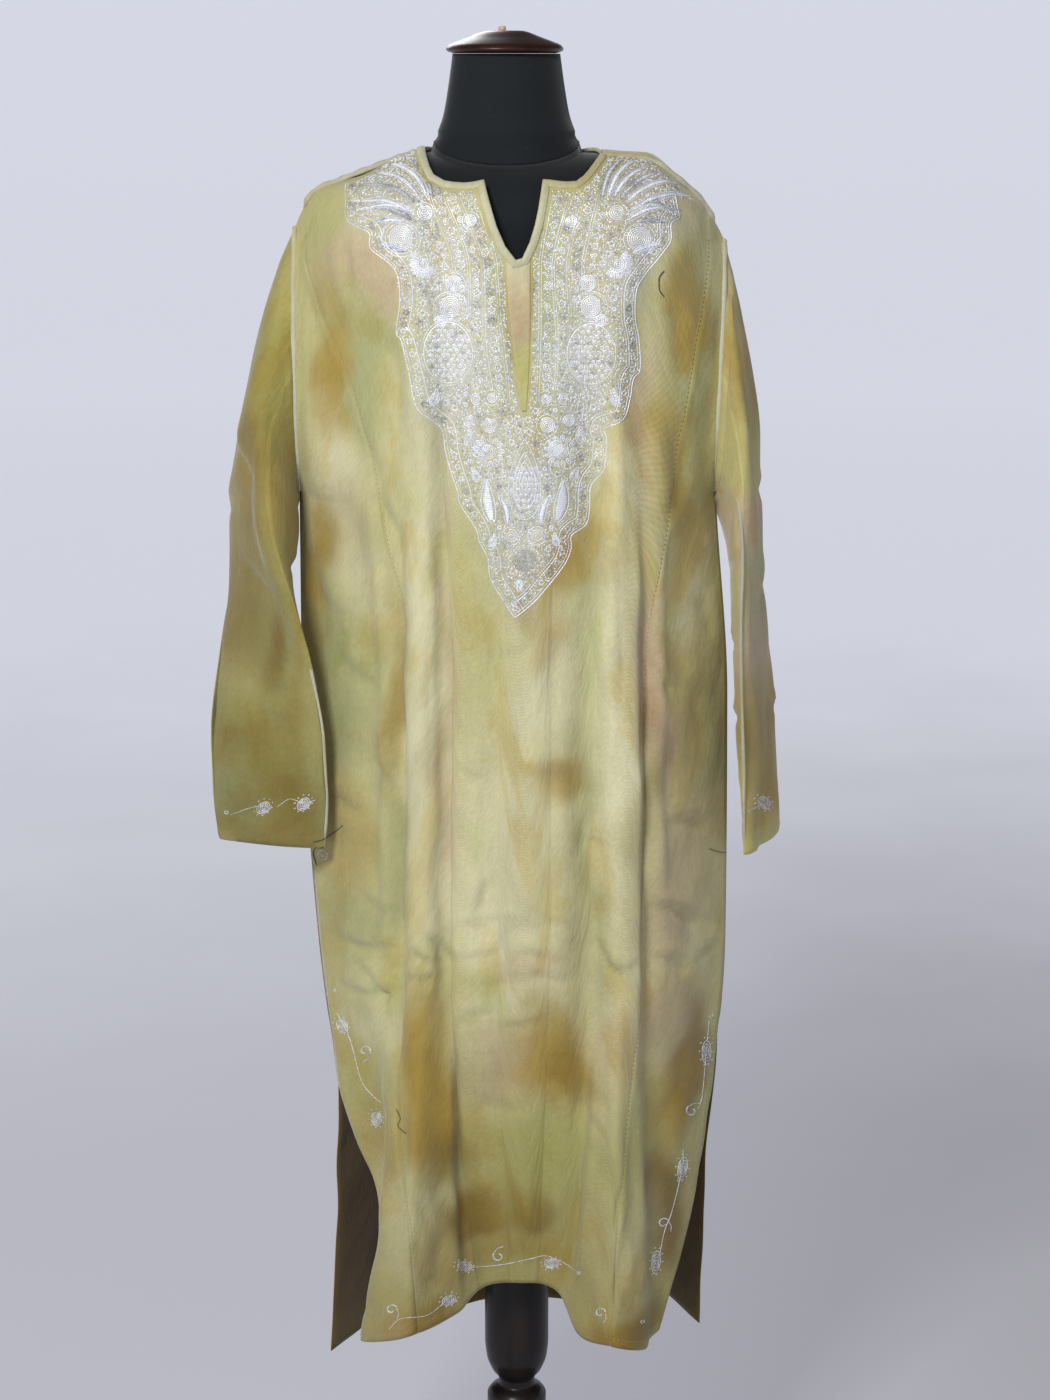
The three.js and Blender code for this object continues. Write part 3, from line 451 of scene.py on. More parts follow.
def oneCurve(rows, key, column):
    curve = smoothCurve([row[key] for row in rows], [row[column] for row in rows])
    return lambda at: curve(at)[0]


def acrossLines(values, s):
    # Catmull-Rom through values that lie one step apart; values has a row for each fold line.
    last = len(values) - 1
    i = np.clip(np.floor(s).astype(int), 0, last - 1)
    t = s - i

    def pick(k):
        return np.take_along_axis(values, np.clip(k, 0, last)[None], 0)[0]

    b, c = pick(i), pick(i + 1)
    a = np.where(i > 0, pick(i - 1), 2 * b - c)
    d = np.where(i + 2 <= last, pick(i + 2), 2 * c - b)
    return b + 0.5 * t * (c - a + t * (2 * a - 5 * b + 4 * c - d + t * (3 * b - a - 3 * c + d)))


def ease(t):
    t = np.clip(t, 0, 1)
    return t * t * (3 - 2 * t)


def lerp(a, b, t):
    return a + (b - a) * t


def unit(vectors):
    return vectors / np.maximum(np.linalg.norm(vectors, axis=-1, keepdims=True), 1e-9)


def splineThrough(points, step):
    # Catmull-Rom through the points, cut again into even steps.
    points = np.asarray(points, float)
    first, last = 2 * points[:1] - points[1:2], 2 * points[-1:] - points[-2:-1]
    ends = np.concatenate([first, points, last])
    t = np.linspace(0, 1, 12, endpoint=False)[None, :, None]
    a, b, c, d = (ends[k:len(ends) - 3 + k, None] for k in range(4))
    curve = b + 0.5 * t * (c - a + t * (2 * a - 5 * b + 4 * c - d + t * (3 * b - a - 3 * c + d)))
    curve = np.concatenate([curve.reshape(-1, points.shape[1]), ends[-2:-1]])
    return evenly(curve, step)


def evenly(line, step):
    lengths = np.concatenate([[0], np.cumsum(np.linalg.norm(np.diff(line, axis=0), axis=1))])
    count = max(int(round(lengths[-1] / step)), 2)
    at = np.linspace(0, lengths[-1], count + 1)
    return np.stack([np.interp(at, lengths, line[:, k]) for k in range(line.shape[1])], axis=1)


cloth = {
    "wall": 1.5, "yokeZ": 1400.0, "frontRoll": 70.0, "backRoll": 60.0, "slitTopZ": 619.0,
    "underarmZ": 1153.0, "armholeHalf": 42.0, "armholePoint": 0.75, "armholeFade": 1.3,
    "seamDropLeft": 11.0, "seamDropRight": 24.0, "seamTurn": 12.0, "backNeckDepth": 74.0,
    "neckLeft": -88.0, "neckRight": 81.0,
}
ridgeLine = [
    (-215, 1410), (-206, 1430), (-193, 1448), (-165, 1460), (-100, 1484), (-88, 1488), (80, 1487),
    (124, 1483), (160, 1460), (178, 1443), (190, 1425), (203, 1398),
]
frontHeights = [1400, 1200, 950, 700, 560, 430, 300]
frontFolds = [  # hem, then x and y at each height, from side to side: side, gutter, edge, crest,
    # valley, flat, middle, flat, valley, crest, edge, gutter, side
    (330, [-214, -214, -215, -203, -183, -143, -126], [0, 0, 0, 0, -28, -70, -92]),
    (314, [-168, -152, -142, -143, -142, -126, -116], [-84, -86, -82, -82, -78, -78, -84]),
    (302, [-130, -113, -108, -112, -132, -143, -158], [-104, -106, -107, -110, -116, -118, -112]),
    (322, [-96, -88, -88, -90, -99, -105, -112], [-114, -125, -126, -131, -142, -148, -150]),
    (330, [-66, -66, -68, -70, -68, -64, -58], [-117, -117, -118, -121, -120, -116, -108]),
    (347, [-34, -38, -40, -42, -38, -34, -32], [-121, -128, -127, -126, -112, -94, -80]),
    (350, [0, 0, 2, 4, 5, 4, 2], [-122, -131, -130, -128, -110, -90, -76]),
    (343, [34, 38, 42, 45, 45, 42, 40], [-121, -128, -126, -124, -112, -94, -82]),
    (306, [66, 71, 73, 74, 74, 70, 63], [-117, -113, -114, -113, -114, -112, -108]),
    (311, [94, 96, 100, 102, 98, 97, 96], [-114, -123, -126, -130, -138, -144, -148]),
    (295, [122, 114, 120, 122, 118, 122, 129], [-104, -108, -111, -115, -122, -124, -120]),
    (297, [160, 150, 156, 160, 152, 148, 136], [-84, -84, -83, -82, -80, -86, -100]),
    (302, [202, 196, 212, 214, 205, 184, 146], [0, 0, 0, 0, -12, -48, -90]),
]
backHeights = [1400, 1200, 950, 700, 560, 430, 240]
backFolds = [  # the same: side, hollow, crest, valley, middle, valley, crest, hollow, side
    (237, [-214, -214, -215, -203, -184, -187, -196], [0, 0, 0, 0, 3, 2, -2]),
    (240, [-168, -158, -152, -150, -146, -142, -148], [74, 73, 73, 75, 77, 80, 84]),
    (202, [-130, -104, -104, -106, -110, -114, -118], [100, 105, 109, 117, 126, 135, 142]),
    (240, [-58, -56, -54, -54, -54, -54, -52], [108, 107, 108, 111, 111, 112, 112]),
    (236, [0, 0, 0, 0, 2, 2, 3], [110, 114, 116, 121, 126, 131, 136]),
    (246, [56, 54, 52, 54, 56, 58, 60], [108, 107, 107, 109, 109, 110, 110]),
    (234, [122, 102, 104, 110, 116, 120, 122], [100, 105, 109, 117, 128, 137, 146]),
    (270, [160, 150, 156, 160, 158, 154, 156], [74, 71, 73, 75, 77, 80, 86]),
    (268, [202, 196, 212, 214, 206, 197, 192], [0, 0, 0, 0, 3, 2, 0]),
]
frontSeams = [  # z, left, right
    (1385, 0.25, 11.6), (1274, 0.93, 11.3), (1135, 1.5, 10.9), (1019, 2.0, 10.4),
    (700, 2.1, 10.1), (541, 2.5, 9.6), (443, 2.95, 9.2), (300, 3.3, 8.9),
]
backSeams = [  # z, left, right
    (1385, 0.25, 7.6), (1200, 1.0, 7.0), (950, 1.5, 6.5), (700, 1.8, 6.2), (430, 2.2, 5.8),
    (240, 2.4, 5.6),
]
neckline = [  # x, z
    (-87.5, 1487.1), (-86.2, 1483.6), (-84.5, 1479), (-81.5, 1472), (-77, 1465), (-67, 1461.5),
    (-48, 1461), (-30, 1461.5), (-28, 1453), (-25.5, 1444), (-22.5, 1434), (-18, 1420),
    (-10, 1402), (0, 1389), (7, 1391), (14, 1406), (19, 1422), (22, 1436), (24, 1448), (26, 1461),
    (42, 1461), (57, 1461.5), (64, 1466), (69, 1471), (74, 1476), (78, 1480), (80.5, 1483),
]
placketRows = [(1385, -9, 14), (1333, -5, 14), (1284, 1, 12.5), (1250, 6, 10)]  # z, left, right
sleeveLeftRows = [  # x, y, z of the middle, then the long and the short half axis
    (-223, 0, 1264, 0, 48, 0, -6, 0, 117), (-232, 0, 1237, 0, 58, 0, -13, 0, 98),
    (-241, -2, 1203, -2, 68, 0, -20, 0, 76), (-249, -4, 1162, -10, 74, 0, -24, 0, 52),
    (-254, -8, 1112, -22, 73, 0, -22, -4, 28), (-252, -14, 1050, -38, 64, 0, -14, -8, 10),
    (-250, -20, 985, -51, 51, 0, -9, -10, 2), (-249, -28, 915, -60, 38, 0, -6, -11, 0),
    (-247, -32, 865, -60, 30, 0, -5, -10, 0), (-245, -32, 803, -54, 20, 0, -4, -10, 0),
]
sleeveRightRows = [
    (207, 0, 1258, 0, 48, 0, 4, 0, 112), (212, 0, 1233, 0, 57, 0, 8, 0, 92),
    (218, 0, 1200, 2, 66, 0, 12, 0, 70), (224, 0, 1160, 5, 72, 0, 13, 0, 46),
    (229, 0, 1110, 9, 73, 0, 12, -1, 24), (233, 0, 1050, 14, 72, 0, 11, -2, 8),
    (238, -2, 985, 18, 70, 0, 10, -3, 2), (243, -4, 915, 20, 67, 0, 10, -3, 0),
    (246, -6, 865, 21, 62, 0, 10, -3, 0), (246, -8, 800, 20, 55, 0, 10, -4, 0),
]
ridgeCurve = smoothCurve([x for x, z in ridgeLine], [z for x, z in ridgeLine])


def ridge(x):
    return ridgeCurve(x)[0]


def armholeOpening(z, topZ):
    # A pointed oval: one minus the square of the way from its middle, to a power.
    half = (topZ - cloth["underarmZ"]) / 2
    away = np.clip((z - cloth["underarmZ"] - half) / half, -1, 1)
    return cloth["armholeHalf"] * (1 - away * away) ** cloth["armholePoint"]


class ClothSide:
    # The front or the back. A point is named by s, counted in fold lines from the left edge, and
    # w, the way along the cloth from the ridge: round the shoulder, then straight down.
    def __init__(self, heights, folds, roll, facing):
        self.xLines = smoothCurve(heights, [fold[1] for fold in folds])
        self.yLines = smoothCurve(heights, [fold[2] for fold in folds])
        self.hems = np.array([fold[0] for fold in folds], float)
        self.last = len(folds) - 1
        self.roll, self.facing = roll, facing
        self.bend = roll * math.pi / 2
        self.manyS = np.linspace(0, self.last, 1201)
        self.manyX = self.topX(self.manyS)

    def xAt(self, s, z):
        s, z = np.broadcast_arrays(s, z)
        return acrossLines(self.xLines(z), s)

    def topX(self, s):
        return self.xAt(np.asarray(s, float), cloth["yokeZ"])

    def hemZ(self, s):
        s = np.asarray(s, float)
        hems = self.hems.reshape(-1, *[1] * s.ndim)
        return acrossLines(np.broadcast_to(hems, (self.last + 1, *s.shape)), s)

    def lineAt(self, x):
        return np.interp(x, self.manyX, self.manyS)

    def wAt(self, s, z):
        drop = ridge(self.topX(s)) - z
        round_ = self.roll * np.arccos(np.clip(1 - drop / self.roll, -1, 1))
        return np.where(drop < self.roll, round_, self.bend + drop - self.roll)

    def heightAt(self, s, w):
        angle = np.minimum(w / self.roll, math.pi / 2)
        drop = np.where(w < self.bend, self.roll * (1 - np.cos(angle)), self.roll + w - self.bend)
        return ridge(self.topX(s)) - drop

    def point(self, s, w):
        s, w = np.broadcast_arrays(np.asarray(s, float), np.asarray(w, float))
        z = self.heightAt(s, w)
        near = np.minimum(s, self.last - s)
        topLeft, topRight = ridge(self.topX(0.0)), ridge(self.topX(float(self.last)))
        edgeTop = np.where(s < self.last / 2, topLeft, topRight)
        opening = armholeOpening(z, edgeTop) * np.maximum(1 - near, 0) ** cloth["armholeFade"]
        turn = np.sin(np.minimum(w / self.roll, math.pi / 2))
        y = acrossLines(self.yLines(z), s) * turn + self.facing * opening
        return np.stack([self.xAt(s, z), y, z], axis=-1)


front = ClothSide(frontHeights, frontFolds, cloth["frontRoll"], -1)
back = ClothSide(backHeights, backFolds, cloth["backRoll"], 1)


def backPoint(s, w):
    # The back wraps over the ridge: where w is below zero its points are the front's.
    s, w = np.broadcast_arrays(np.asarray(s, float), np.asarray(w, float))
    over = front.point(front.lineAt(back.topX(s)), np.maximum(-w, 0))
    return np.where((w < 0)[..., None], over, back.point(s, np.maximum(w, 0)))


def outward(side, point, s, w):
    # Square to small steps along s and w; sideways where front and back are sewn together.
    across = point(s + 0.02, w) - point(s - 0.02, w)
    down = point(s, w + 0.5) - point(s, w - 0.5)
    normal = unit(np.cross(down, across) * (1 if side is front else -1))
    near = np.minimum(s, side.last - s)
    sewn = ease((point(s, w)[..., 2] - cloth["slitTopZ"] + 60) / 50)
    normal[..., 1] *= 1 - sewn * ease(1 - near / 0.1)
    return unit(normal)


necklineX = np.array([x for x, z in neckline])
necklineZ = np.array([z for x, z in neckline])


def seamDrop(x):
    left = cloth["seamDropLeft"] * np.clip((x - ridgeLine[0][0]) / cloth["seamTurn"], 0, 1)
    right = cloth["seamDropRight"] * np.clip((ridgeLine[-1][0] - x) / cloth["seamTurn"], 0, 1)
    return np.where(x < 0, left, right)


def frontTopW(s):
    x = front.topX(s)
    inNeck = (x > cloth["neckLeft"]) & (x < cloth["neckRight"])
    return np.where(inNeck, front.wAt(s, np.interp(x, necklineX, necklineZ)), seamDrop(x))


def backTopW(s):
    # The back neck edge is half an oval in plan, from the front seam round behind the neck.
    x = back.topX(s)
    left, right = cloth["neckLeft"], cloth["neckRight"]
    share = np.clip((x - left) / (right - left), 0, 1)
    startLeft = front.point(front.lineAt(left), cloth["seamDropLeft"])[1]
    startRight = front.point(front.lineAt(right), cloth["seamDropRight"])[1]
    start, half = lerp(startLeft, startRight, share), np.sqrt(1 - (2 * share - 1) ** 2)
    y = lerp(start, cloth["backNeckDepth"], half)
    flank = back.point(s, back.wAt(s, cloth["yokeZ"]))[..., 1]
    line = front.lineAt(x)
    frontFlank = front.point(line, front.wAt(line, cloth["yokeZ"]))[..., 1]
    behind = back.roll * np.arcsin(np.clip(y / flank, -1, 1))
    before = -front.roll * np.arcsin(np.clip(y / frontFlank, -1, 1))
    return np.where((x > left) & (x < right), np.where(y >= 0, behind, before), -seamDrop(x))


frontSeamLeft, frontSeamRight = (oneCurve(frontSeams, 0, k) for k in (1, 2))
backSeamLeft, backSeamRight = (oneCurve(backSeams, 0, k) for k in (1, 2))

# Each crease runs between two places on its side of the cloth (x, z), with its depth, its half
# width and how far it bows. A negative depth stands up as a ridge.
frontCreases = [  # fromX, fromZ, toX, toZ, depth, width, bow
    (-112, 1200, -118, 560, 8.5, 6.0, 3), (126, 520, 121, 1200, 9.0, 5.5, -3),
    (-66, 560, -65, 1150, 2.6, 9.0, 2), (70, 1180, 76, 540, 3.2, 8.0, 2),
    (-150, 1190, -142, 700, 3.8, 7.0, 4), (158, 690, 152, 1190, 3.8, 7.0, 4),
    (-100, 640, -118, 330, 3.4, 5.0, -4), (-47, 325, -56, 640, 8.0, 5.5, 4),
    (70, 640, 51, 325, 8.0, 5.5, 4), (134, 325, 130, 640, 6.0, 5.0, -3),
    (84, 600, 98, 330, 2.6, 6.0, 4), (-140, 330, -150, 600, 2.4, 6.0, 4),
    (-24, 1040, -30, 700, 1.6, 8.0, 5), (38, 1040, 30, 640, 1.6, 8.0, -6),
    (-90, 1180, -86, 820, 1.6, 4.0, 3), (98, 860, 94, 1180, 1.8, 4.0, -3),
    (-138, 1000, -132, 620, 2.0, 4.5, -4), (-104, 470, -84, 440, 1.2, 3.6, 2),
    (-102, 430, -88, 405, 1.0, 3.4, -2), (-96, 385, -80, 372, 1.0, 3.2, 1),
    (104, 480, 92, 420, 1.3, 3.6, 2), (112, 420, 104, 360, 1.3, 3.4, -2),
    (98, 390, 92, 340, 1.1, 3.2, 2), (-70, 735, 20, 752, 0.8, 4.0, 6),
    (0, 770, 60, 742, 0.7, 4.0, -4), (-40, 680, 50, 690, 0.6, 5.0, 5),
    (-182, 704, -119, 718, 2.6, 5.5, -6), (-182, 654, -118, 674, 2.2, 5.0, -7),
    (-150, 690, -121, 700, 1.4, 4.0, 3), (-106, 717, -83, 703, 2.4, 5.0, 3),
    (-108, 690, -80, 696, 1.8, 4.5, -3), (-34, 757, -25, 795, 1.4, 4.5, 2),
    (132, 763, 190, 713, 2.8, 5.5, 6), (134, 709, 177, 674, 2.2, 5.0, 5),
    (182, 690, 205, 695, 1.6, 4.0, 0), (88, 702, 118, 703, 1.6, 4.5, -2),
    (144, 1348, 157, 1313, 1.8, 5.0, 3), (-162, 1412, -156, 1350, 2.0, 4.0, 2),
    (-20, 735, 36, 742, 0.9, 7.0, 4), (8, 700, 62, 688, 0.9, 6.0, -3),
    (-60, 640, -20, 655, 0.8, 6.0, 3), (146, 840, 196, 818, 1.5, 6.0, 5),
    (-196, 868, -150, 842, 1.4, 6.0, -5), (150, 985, 190, 940, 1.3, 7.0, 5),
    (-176, 1010, -140, 970, 1.4, 7.0, -6), (-132, 1110, -118, 1040, 1.6, 7.0, 3),
    (-120, 1330, -112, 1225, 1.4, 7.0, 4), (124, 1250, 132, 1150, 1.6, 7.0, -4),
    (-150, 1230, -126, 1130, 1.8, 8.0, 5), (158, 1240, 150, 1130, 1.6, 7.0, 3),
    (-140, 560, -128, 470, 1.6, 6.0, 4), (160, 560, 148, 480, 1.6, 6.0, -4),
    (-76, 430, -88, 350, 1.2, 6.0, 3), (106, 440, 110, 350, 1.2, 6.0, -3),
    (-8, 520, 4, 400, 1.0, 8.0, 3), (28, 500, 34, 380, 0.9, 7.0, -2),
    (176, 1060, 196, 1010, 1.6, 6.0, 3), (-200, 1085, -180, 1040, 1.6, 6.0, -3),
    (-166, 1440, -120, 1448, 1.2, 5.0, 2), (128, 1450, 172, 1420, 1.4, 5.0, 3),
    (-20, 1010, 18, 1022, 0.7, 6.0, 2), (-60, 905, -30, 890, 0.8, 6.0, -2),
    (-40, 560, 10, 548, 0.8, 7.0, -3), (60, 830, 84, 818, 0.9, 5.0, 2),
    (-131, 560, -150, 325, 3.2, 5.0, -3), (-28, 330, -34, 560, 3.0, 7.0, 3),
    (30, 560, 24, 330, 2.6, 8.0, -3), (-96, 742, -60, 700, 1.8, 4.5, 4),
    (-58, 712, -10, 724, 1.2, 4.5, -5), (-4, 716, 50, 700, 1.2, 4.5, 5),
    (70, 730, 112, 668, 1.8, 4.5, 5), (-170, 690, -128, 655, 1.6, 4.5, 4),
    (-160, 760, -124, 748, 1.3, 4.5, -3), (-84, 480, -60, 420, 1.2, 4.0, 3),
    (60, 560, 92, 520, 1.2, 4.5, 3), (-148, 902, -118, 868, 1.3, 5.0, 4),
    (-20, 640, 34, 652, 0.9, 4.5, -4), (128, 1010, 160, 968, 1.3, 5.0, -4),
    (-140, 1168, -112, 1120, 1.3, 5.0, 4),
]
backCreases = [
    (-112, 1200, -118, 420, 6.0, 6.0, 3), (108, 420, 102, 1190, 6.0, 6.0, -3),
    (-44, 1150, -50, 360, 3.2, 9.0, 4), (38, 340, 32, 1180, 3.4, 9.0, -4),
    (-190, 720, -120, 738, 2.4, 6.0, -6), (-186, 664, -130, 690, 1.8, 5.5, -6),
    (126, 742, 196, 712, 2.6, 6.0, 6), (132, 690, 186, 662, 2.0, 5.5, 5),
    (-90, 1260, -86, 1120, 2.2, 9.0, 5), (92, 1250, 86, 1090, 2.2, 9.0, -5),
    (-30, 1200, -22, 1040, 1.4, 9.0, 4), (36, 1230, 30, 1060, 1.6, 9.0, -4),
    (-70, 1440, -20, 1420, 1.4, 7.0, -5), (20, 1424, 76, 1442, 1.6, 7.0, -5),
    (-160, 1240, -130, 1120, 2.2, 8.0, 6), (162, 1240, 134, 1110, 2.2, 8.0, -6),
    (-60, 800, 10, 812, 1.2, 7.0, 4), (10, 764, 70, 748, 1.4, 6.0, -4),
    (-120, 880, -70, 868, 1.2, 6.0, -3), (-140, 520, -126, 400, 1.8, 7.0, 4),
    (138, 540, 150, 420, 1.8, 7.0, -4), (-24, 470, -10, 330, 1.4, 8.0, 3),
    (60, 560, 66, 420, 1.2, 8.0, -3), (-170, 1000, -140, 950, 1.6, 6.0, -4),
    (150, 1010, 186, 960, 1.6, 6.0, 4), (-40, 620, 20, 612, 1.0, 6.0, 3),
]


def creaseRelief(x, z, creases):
    # Each crease is a trough, steep on one side with a low lip beyond it and slow on the other: a
    # bell curve of the distance from a bowed line, less a wider one beside it, faded at its ends.
    relief = np.zeros(np.broadcast(x, z).shape)
    for fromX, fromZ, toX, toZ, depth, width, bow in creases:
        alongX, alongZ = toX - fromX, toZ - fromZ
        length = math.hypot(alongX, alongZ)
        alongX, alongZ = alongX / length, alongZ / length
        a = ((x - fromX) * alongX + (z - fromZ) * alongZ) / length
        d = -(x - fromX) * alongZ + (z - fromZ) * alongX
        d = d - bow * 4 * a * (1 - a)
        fade = ease(a / 0.35 + 0.15) * ease((1 - a) / 0.3 + 0.1)
        fade = np.where((a > -0.06) & (a < 1.04), fade, 0)
        slow = 2.6 if length >= 150 else 1.3
        near = np.where(d > 0, d / width, d / (slow * width))
        trough = np.exp(-(near ** 2)) - 0.55 * np.exp(-(((d - 1.9 * width) / (1.5 * width)) ** 2))
        small = 2.3 if length < 150 else 1.0
        relief -= small * depth * fade * trough
    return relief


rollingWaves = {"seed": 7, "count": 26, "height": 0.7}


def rollingRelief(x, z, phase):
    # A sum of slow sine waves in mixed directions, mostly running down the cloth.
    rng = np.random.default_rng(rollingWaves["seed"] + phase)
    relief = np.zeros(np.broadcast(x, z).shape)
    for _ in range(rollingWaves["count"]):
        span = rng.uniform(26, 120)
        lean = rng.normal(0, 0.33)
        offset, height = rng.uniform(0, 2 * math.pi), rng.uniform(0.4, 1.0) * (span / 80) ** 0.8
        fadeAt, fadeSpan = rng.uniform(250, 1450), rng.uniform(120, 420)
        wave = np.sin(2 * math.pi * (x * math.cos(lean) + z * math.sin(lean)) / span + offset)
        fade = np.exp(-(((z - fadeAt) / fadeSpan) ** 2))
        relief += rollingWaves["height"] * height * wave * fade * 1.5
    return relief


seamRidge = {"rise": 0.5, "beside": 3.2, "wide": 2.6, "dent": 0.45, "dentWide": 1.3}


def sideRelief(side, s, w, point):
    # How far the cloth stands off its smooth surface: creases, slow waves and the raised seams.
    spot = point(s, w)
    x, z = spot[..., 0], spot[..., 2]
    if side is front:
        relief = creaseRelief(x, z, frontCreases) + rollingRelief(x, z, 0)
        seams = (frontSeamLeft(z), frontSeamRight(z))
    else:
        relief = creaseRelief(x, z, backCreases) + 1.2 * rollingRelief(x, z, 3)
        seams = (backSeamLeft(z), backSeamRight(z))
    reach = np.abs(side.xAt(s + 0.05, z) - side.xAt(s - 0.05, z)) / 0.1
    for number, seam in enumerate(seams):
        off = (s - seam) * reach * (1 if number == 0 else -1)
        below = ease((1420 - z) / 60)
        beside = (off + seamRidge["beside"]) / seamRidge["wide"]
        rise = seamRidge["rise"] * np.exp(-(beside ** 2))
        dent = seamRidge["dent"] * np.exp(-((off / seamRidge["dentWide"]) ** 2))
        relief += below * (rise - dent)
    # The relief dies out at the side seams, so that front and back meet.
    near = np.minimum(s, side.last - s) * reach
    sewn = ease((z - cloth["slitTopZ"] + 20) / 40)
    return relief * (1 - sewn * ease(1 - near / 14))


print("surfaces done")

dyeColours = {key: np.array(value) for key, value in clothColours.items()}
frontDyeAndFoldShading = [  # x, z, half width, half height, colour, strength
    (0, 1250, 260, 300, "green", 0.18), (-60, 1180, 60, 240, "cream", 0.35),
    (60, 700, 90, 130, "cream", 0.25), (0, 900, 120, 260, "cream", 0.3),
    (-142, 1296, 18, 80, "green", 0.75), (-170, 1263, 16, 64, "ochre", 0.7),
    (-178, 1345, 14, 44, "olive", 0.55), (-150, 1392, 30, 26, "pink", 0.55),
    (-132, 1372, 16, 26, "pink", 0.55), (-187, 1154, 20, 30, "cream", 0.8),
    (-192, 1080, 15, 60, "ochre", 0.75), (-165, 1120, 14, 70, "pink", 0.3),
    (-172, 968, 30, 76, "green", 0.7), (-196, 960, 10, 90, "ochre", 0.4),
    # Painted shade and painted highlight along the big folds, over the cloth's real dye: the
    # narrow upright olive and green stripes in the left gutter (x -118) and the pink ones in the
    # left valley (x -66) are painted shade, the cream ones on the left crest (x -88 to -92)
    # painted highlight.
    (-150, 1060, 14, 60, "lime", 0.5), (-118, 960, 14, 120, "olive", 0.55),
    (-118, 798, 20, 70, "green", 0.7), (-176, 820, 26, 60, "ochre", 0.42),
    (-160, 720, 34, 46, "green", 0.5), (-150, 640, 40, 30, "cream", 0.45),
    (-160, 560, 26, 40, "lime", 0.5), (-140, 500, 22, 50, "ochre", 0.35),
    (-88, 1018, 16, 190, "cream", 0.85), (-92, 780, 14, 90, "cream", 0.7),
    (-66, 1000, 9, 170, "pink", 0.5), (-62, 800, 10, 90, "pink", 0.45),
    (-84, 600, 26, 70, "ochre", 0.9), (-90, 540, 30, 50, "ochre", 0.8),
    (-74, 500, 22, 40, "brown", 0.35), (-60, 690, 26, 50, "lime", 0.35),
    (-104, 430, 40, 44, "cream", 0.6), (-92, 336, 26, 22, "ochre", 0.75),
    (-128, 320, 18, 22, "pink", 0.45), (-70, 400, 20, 40, "ochre", 0.35),
    (-36, 432, 24, 24, "brown", 0.8), (24, 430, 24, 26, "brown", 0.75),
    (-8, 440, 50, 34, "ochre", 0.5), (-6, 385, 60, 20, "ochre", 0.45),
    (29, 495, 40, 50, "lime", 0.85), (-20, 520, 30, 50, "lime", 0.5),
    (44, 602, 50, 48, "ochre", 0.85), (30, 640, 30, 24, "olive", 0.5),
    (62, 590, 22, 40, "brown", 0.25), (-16, 600, 30, 40, "pink", 0.4),
    (-34, 767, 50, 56, "cream", 0.75), (10, 700, 40, 30, "pink", 0.35),
    (42, 893, 40, 30, "ochre", 1.0), (34, 905, 22, 18, "brown", 0.42),
    (72, 888, 22, 22, "brown", 0.22), (28, 1027, 17, 24, "ochre", 0.95),
    (30, 1018, 9, 12, "brown", 0.3), (60, 1112, 44, 38, "ochre", 0.72),
    (20, 1085, 36, 34, "ochre", 0.45), (22, 980, 40, 26, "cream", 0.6),
    (-30, 1110, 30, 60, "lime", 0.42), (-36, 1000, 26, 50, "lime", 0.4),
    # Painted shade in the right valley (green, x 77) and beyond the right edge (pink, x 134), and
    # painted highlight on the right crest (cream, x 96 to 100), over the real dye.
    (77, 960, 13, 150, "green", 0.7), (78, 760, 11, 90, "green", 0.5),
    (97, 1182, 22, 46, "cream", 0.85), (96, 869, 16, 120, "cream", 0.85),
    (100, 1060, 15, 60, "cream", 0.5), (96, 600, 15, 90, "cream", 0.4),
    (134, 968, 18, 110, "pink", 0.9), (128, 930, 12, 60, "brown", 0.25),
    (124, 1240, 12, 70, "pink", 0.6), (160, 1347, 21, 46, "olive", 0.85),
    (154, 1320, 14, 34, "ochre", 0.75), (172, 1250, 14, 60, "green", 0.5),
    (150, 1200, 18, 50, "ochre", 0.55), (176, 1066, 14, 60, "cream", 0.75),
    (158, 1110, 12, 60, "ochre", 0.5), (180, 960, 16, 70, "ochre", 0.35),
    (198, 879, 14, 70, "green", 0.75), (170, 800, 34, 60, "pink", 0.5),
    (150, 730, 40, 34, "pink", 0.45), (188, 690, 20, 40, "cream", 0.4),
    (173, 575, 20, 60, "brown", 0.8), (160, 540, 26, 50, "ochre", 0.5),
    (140, 640, 40, 40, "pink", 0.5), (150, 432, 22, 60, "brown", 0.8),
    (112, 420, 30, 60, "cream", 0.5), (100, 312, 30, 22, "ochre", 0.8),
    (134, 320, 18, 24, "brown", 0.5), (106, 500, 20, 60, "lime", 0.5),
    (-20, 1300, 60, 60, "green", 0.35), (60, 1330, 50, 60, "green", 0.3),
    (-100, 1455, 60, 26, "olive", 0.35), (110, 1455, 60, 30, "olive", 0.4),
    (150, 1425, 26, 20, "pink", 0.3), (-186, 1420, 20, 24, "lime", 0.5),
    (-68, 1385, 38, 56, "silver", 0.7), (82, 1385, 40, 56, "silver", 0.7),
    (-118, 1432, 36, 22, "silver", 0.5), (130, 1430, 34, 22, "silver", 0.5),
    (-50, 1285, 36, 60, "silver", 0.7), (66, 1285, 38, 60, "silver", 0.7),
    (-172, 1195, 22, 30, "cream", 0.8), (-150, 1085, 24, 40, "cream", 0.6),
    (40, 1000, 40, 60, "cream", 0.5), (-8, 860, 46, 60, "cream", 0.55),
    # The cream at x 92 is painted highlight on the right crest.
    (92, 980, 20, 90, "cream", 0.5), (-20, 660, 50, 30, "cream", 0.4),
    (6, 1180, 44, 44, "silver", 0.7), (8, 1110, 24, 44, "silver", 0.6),
]
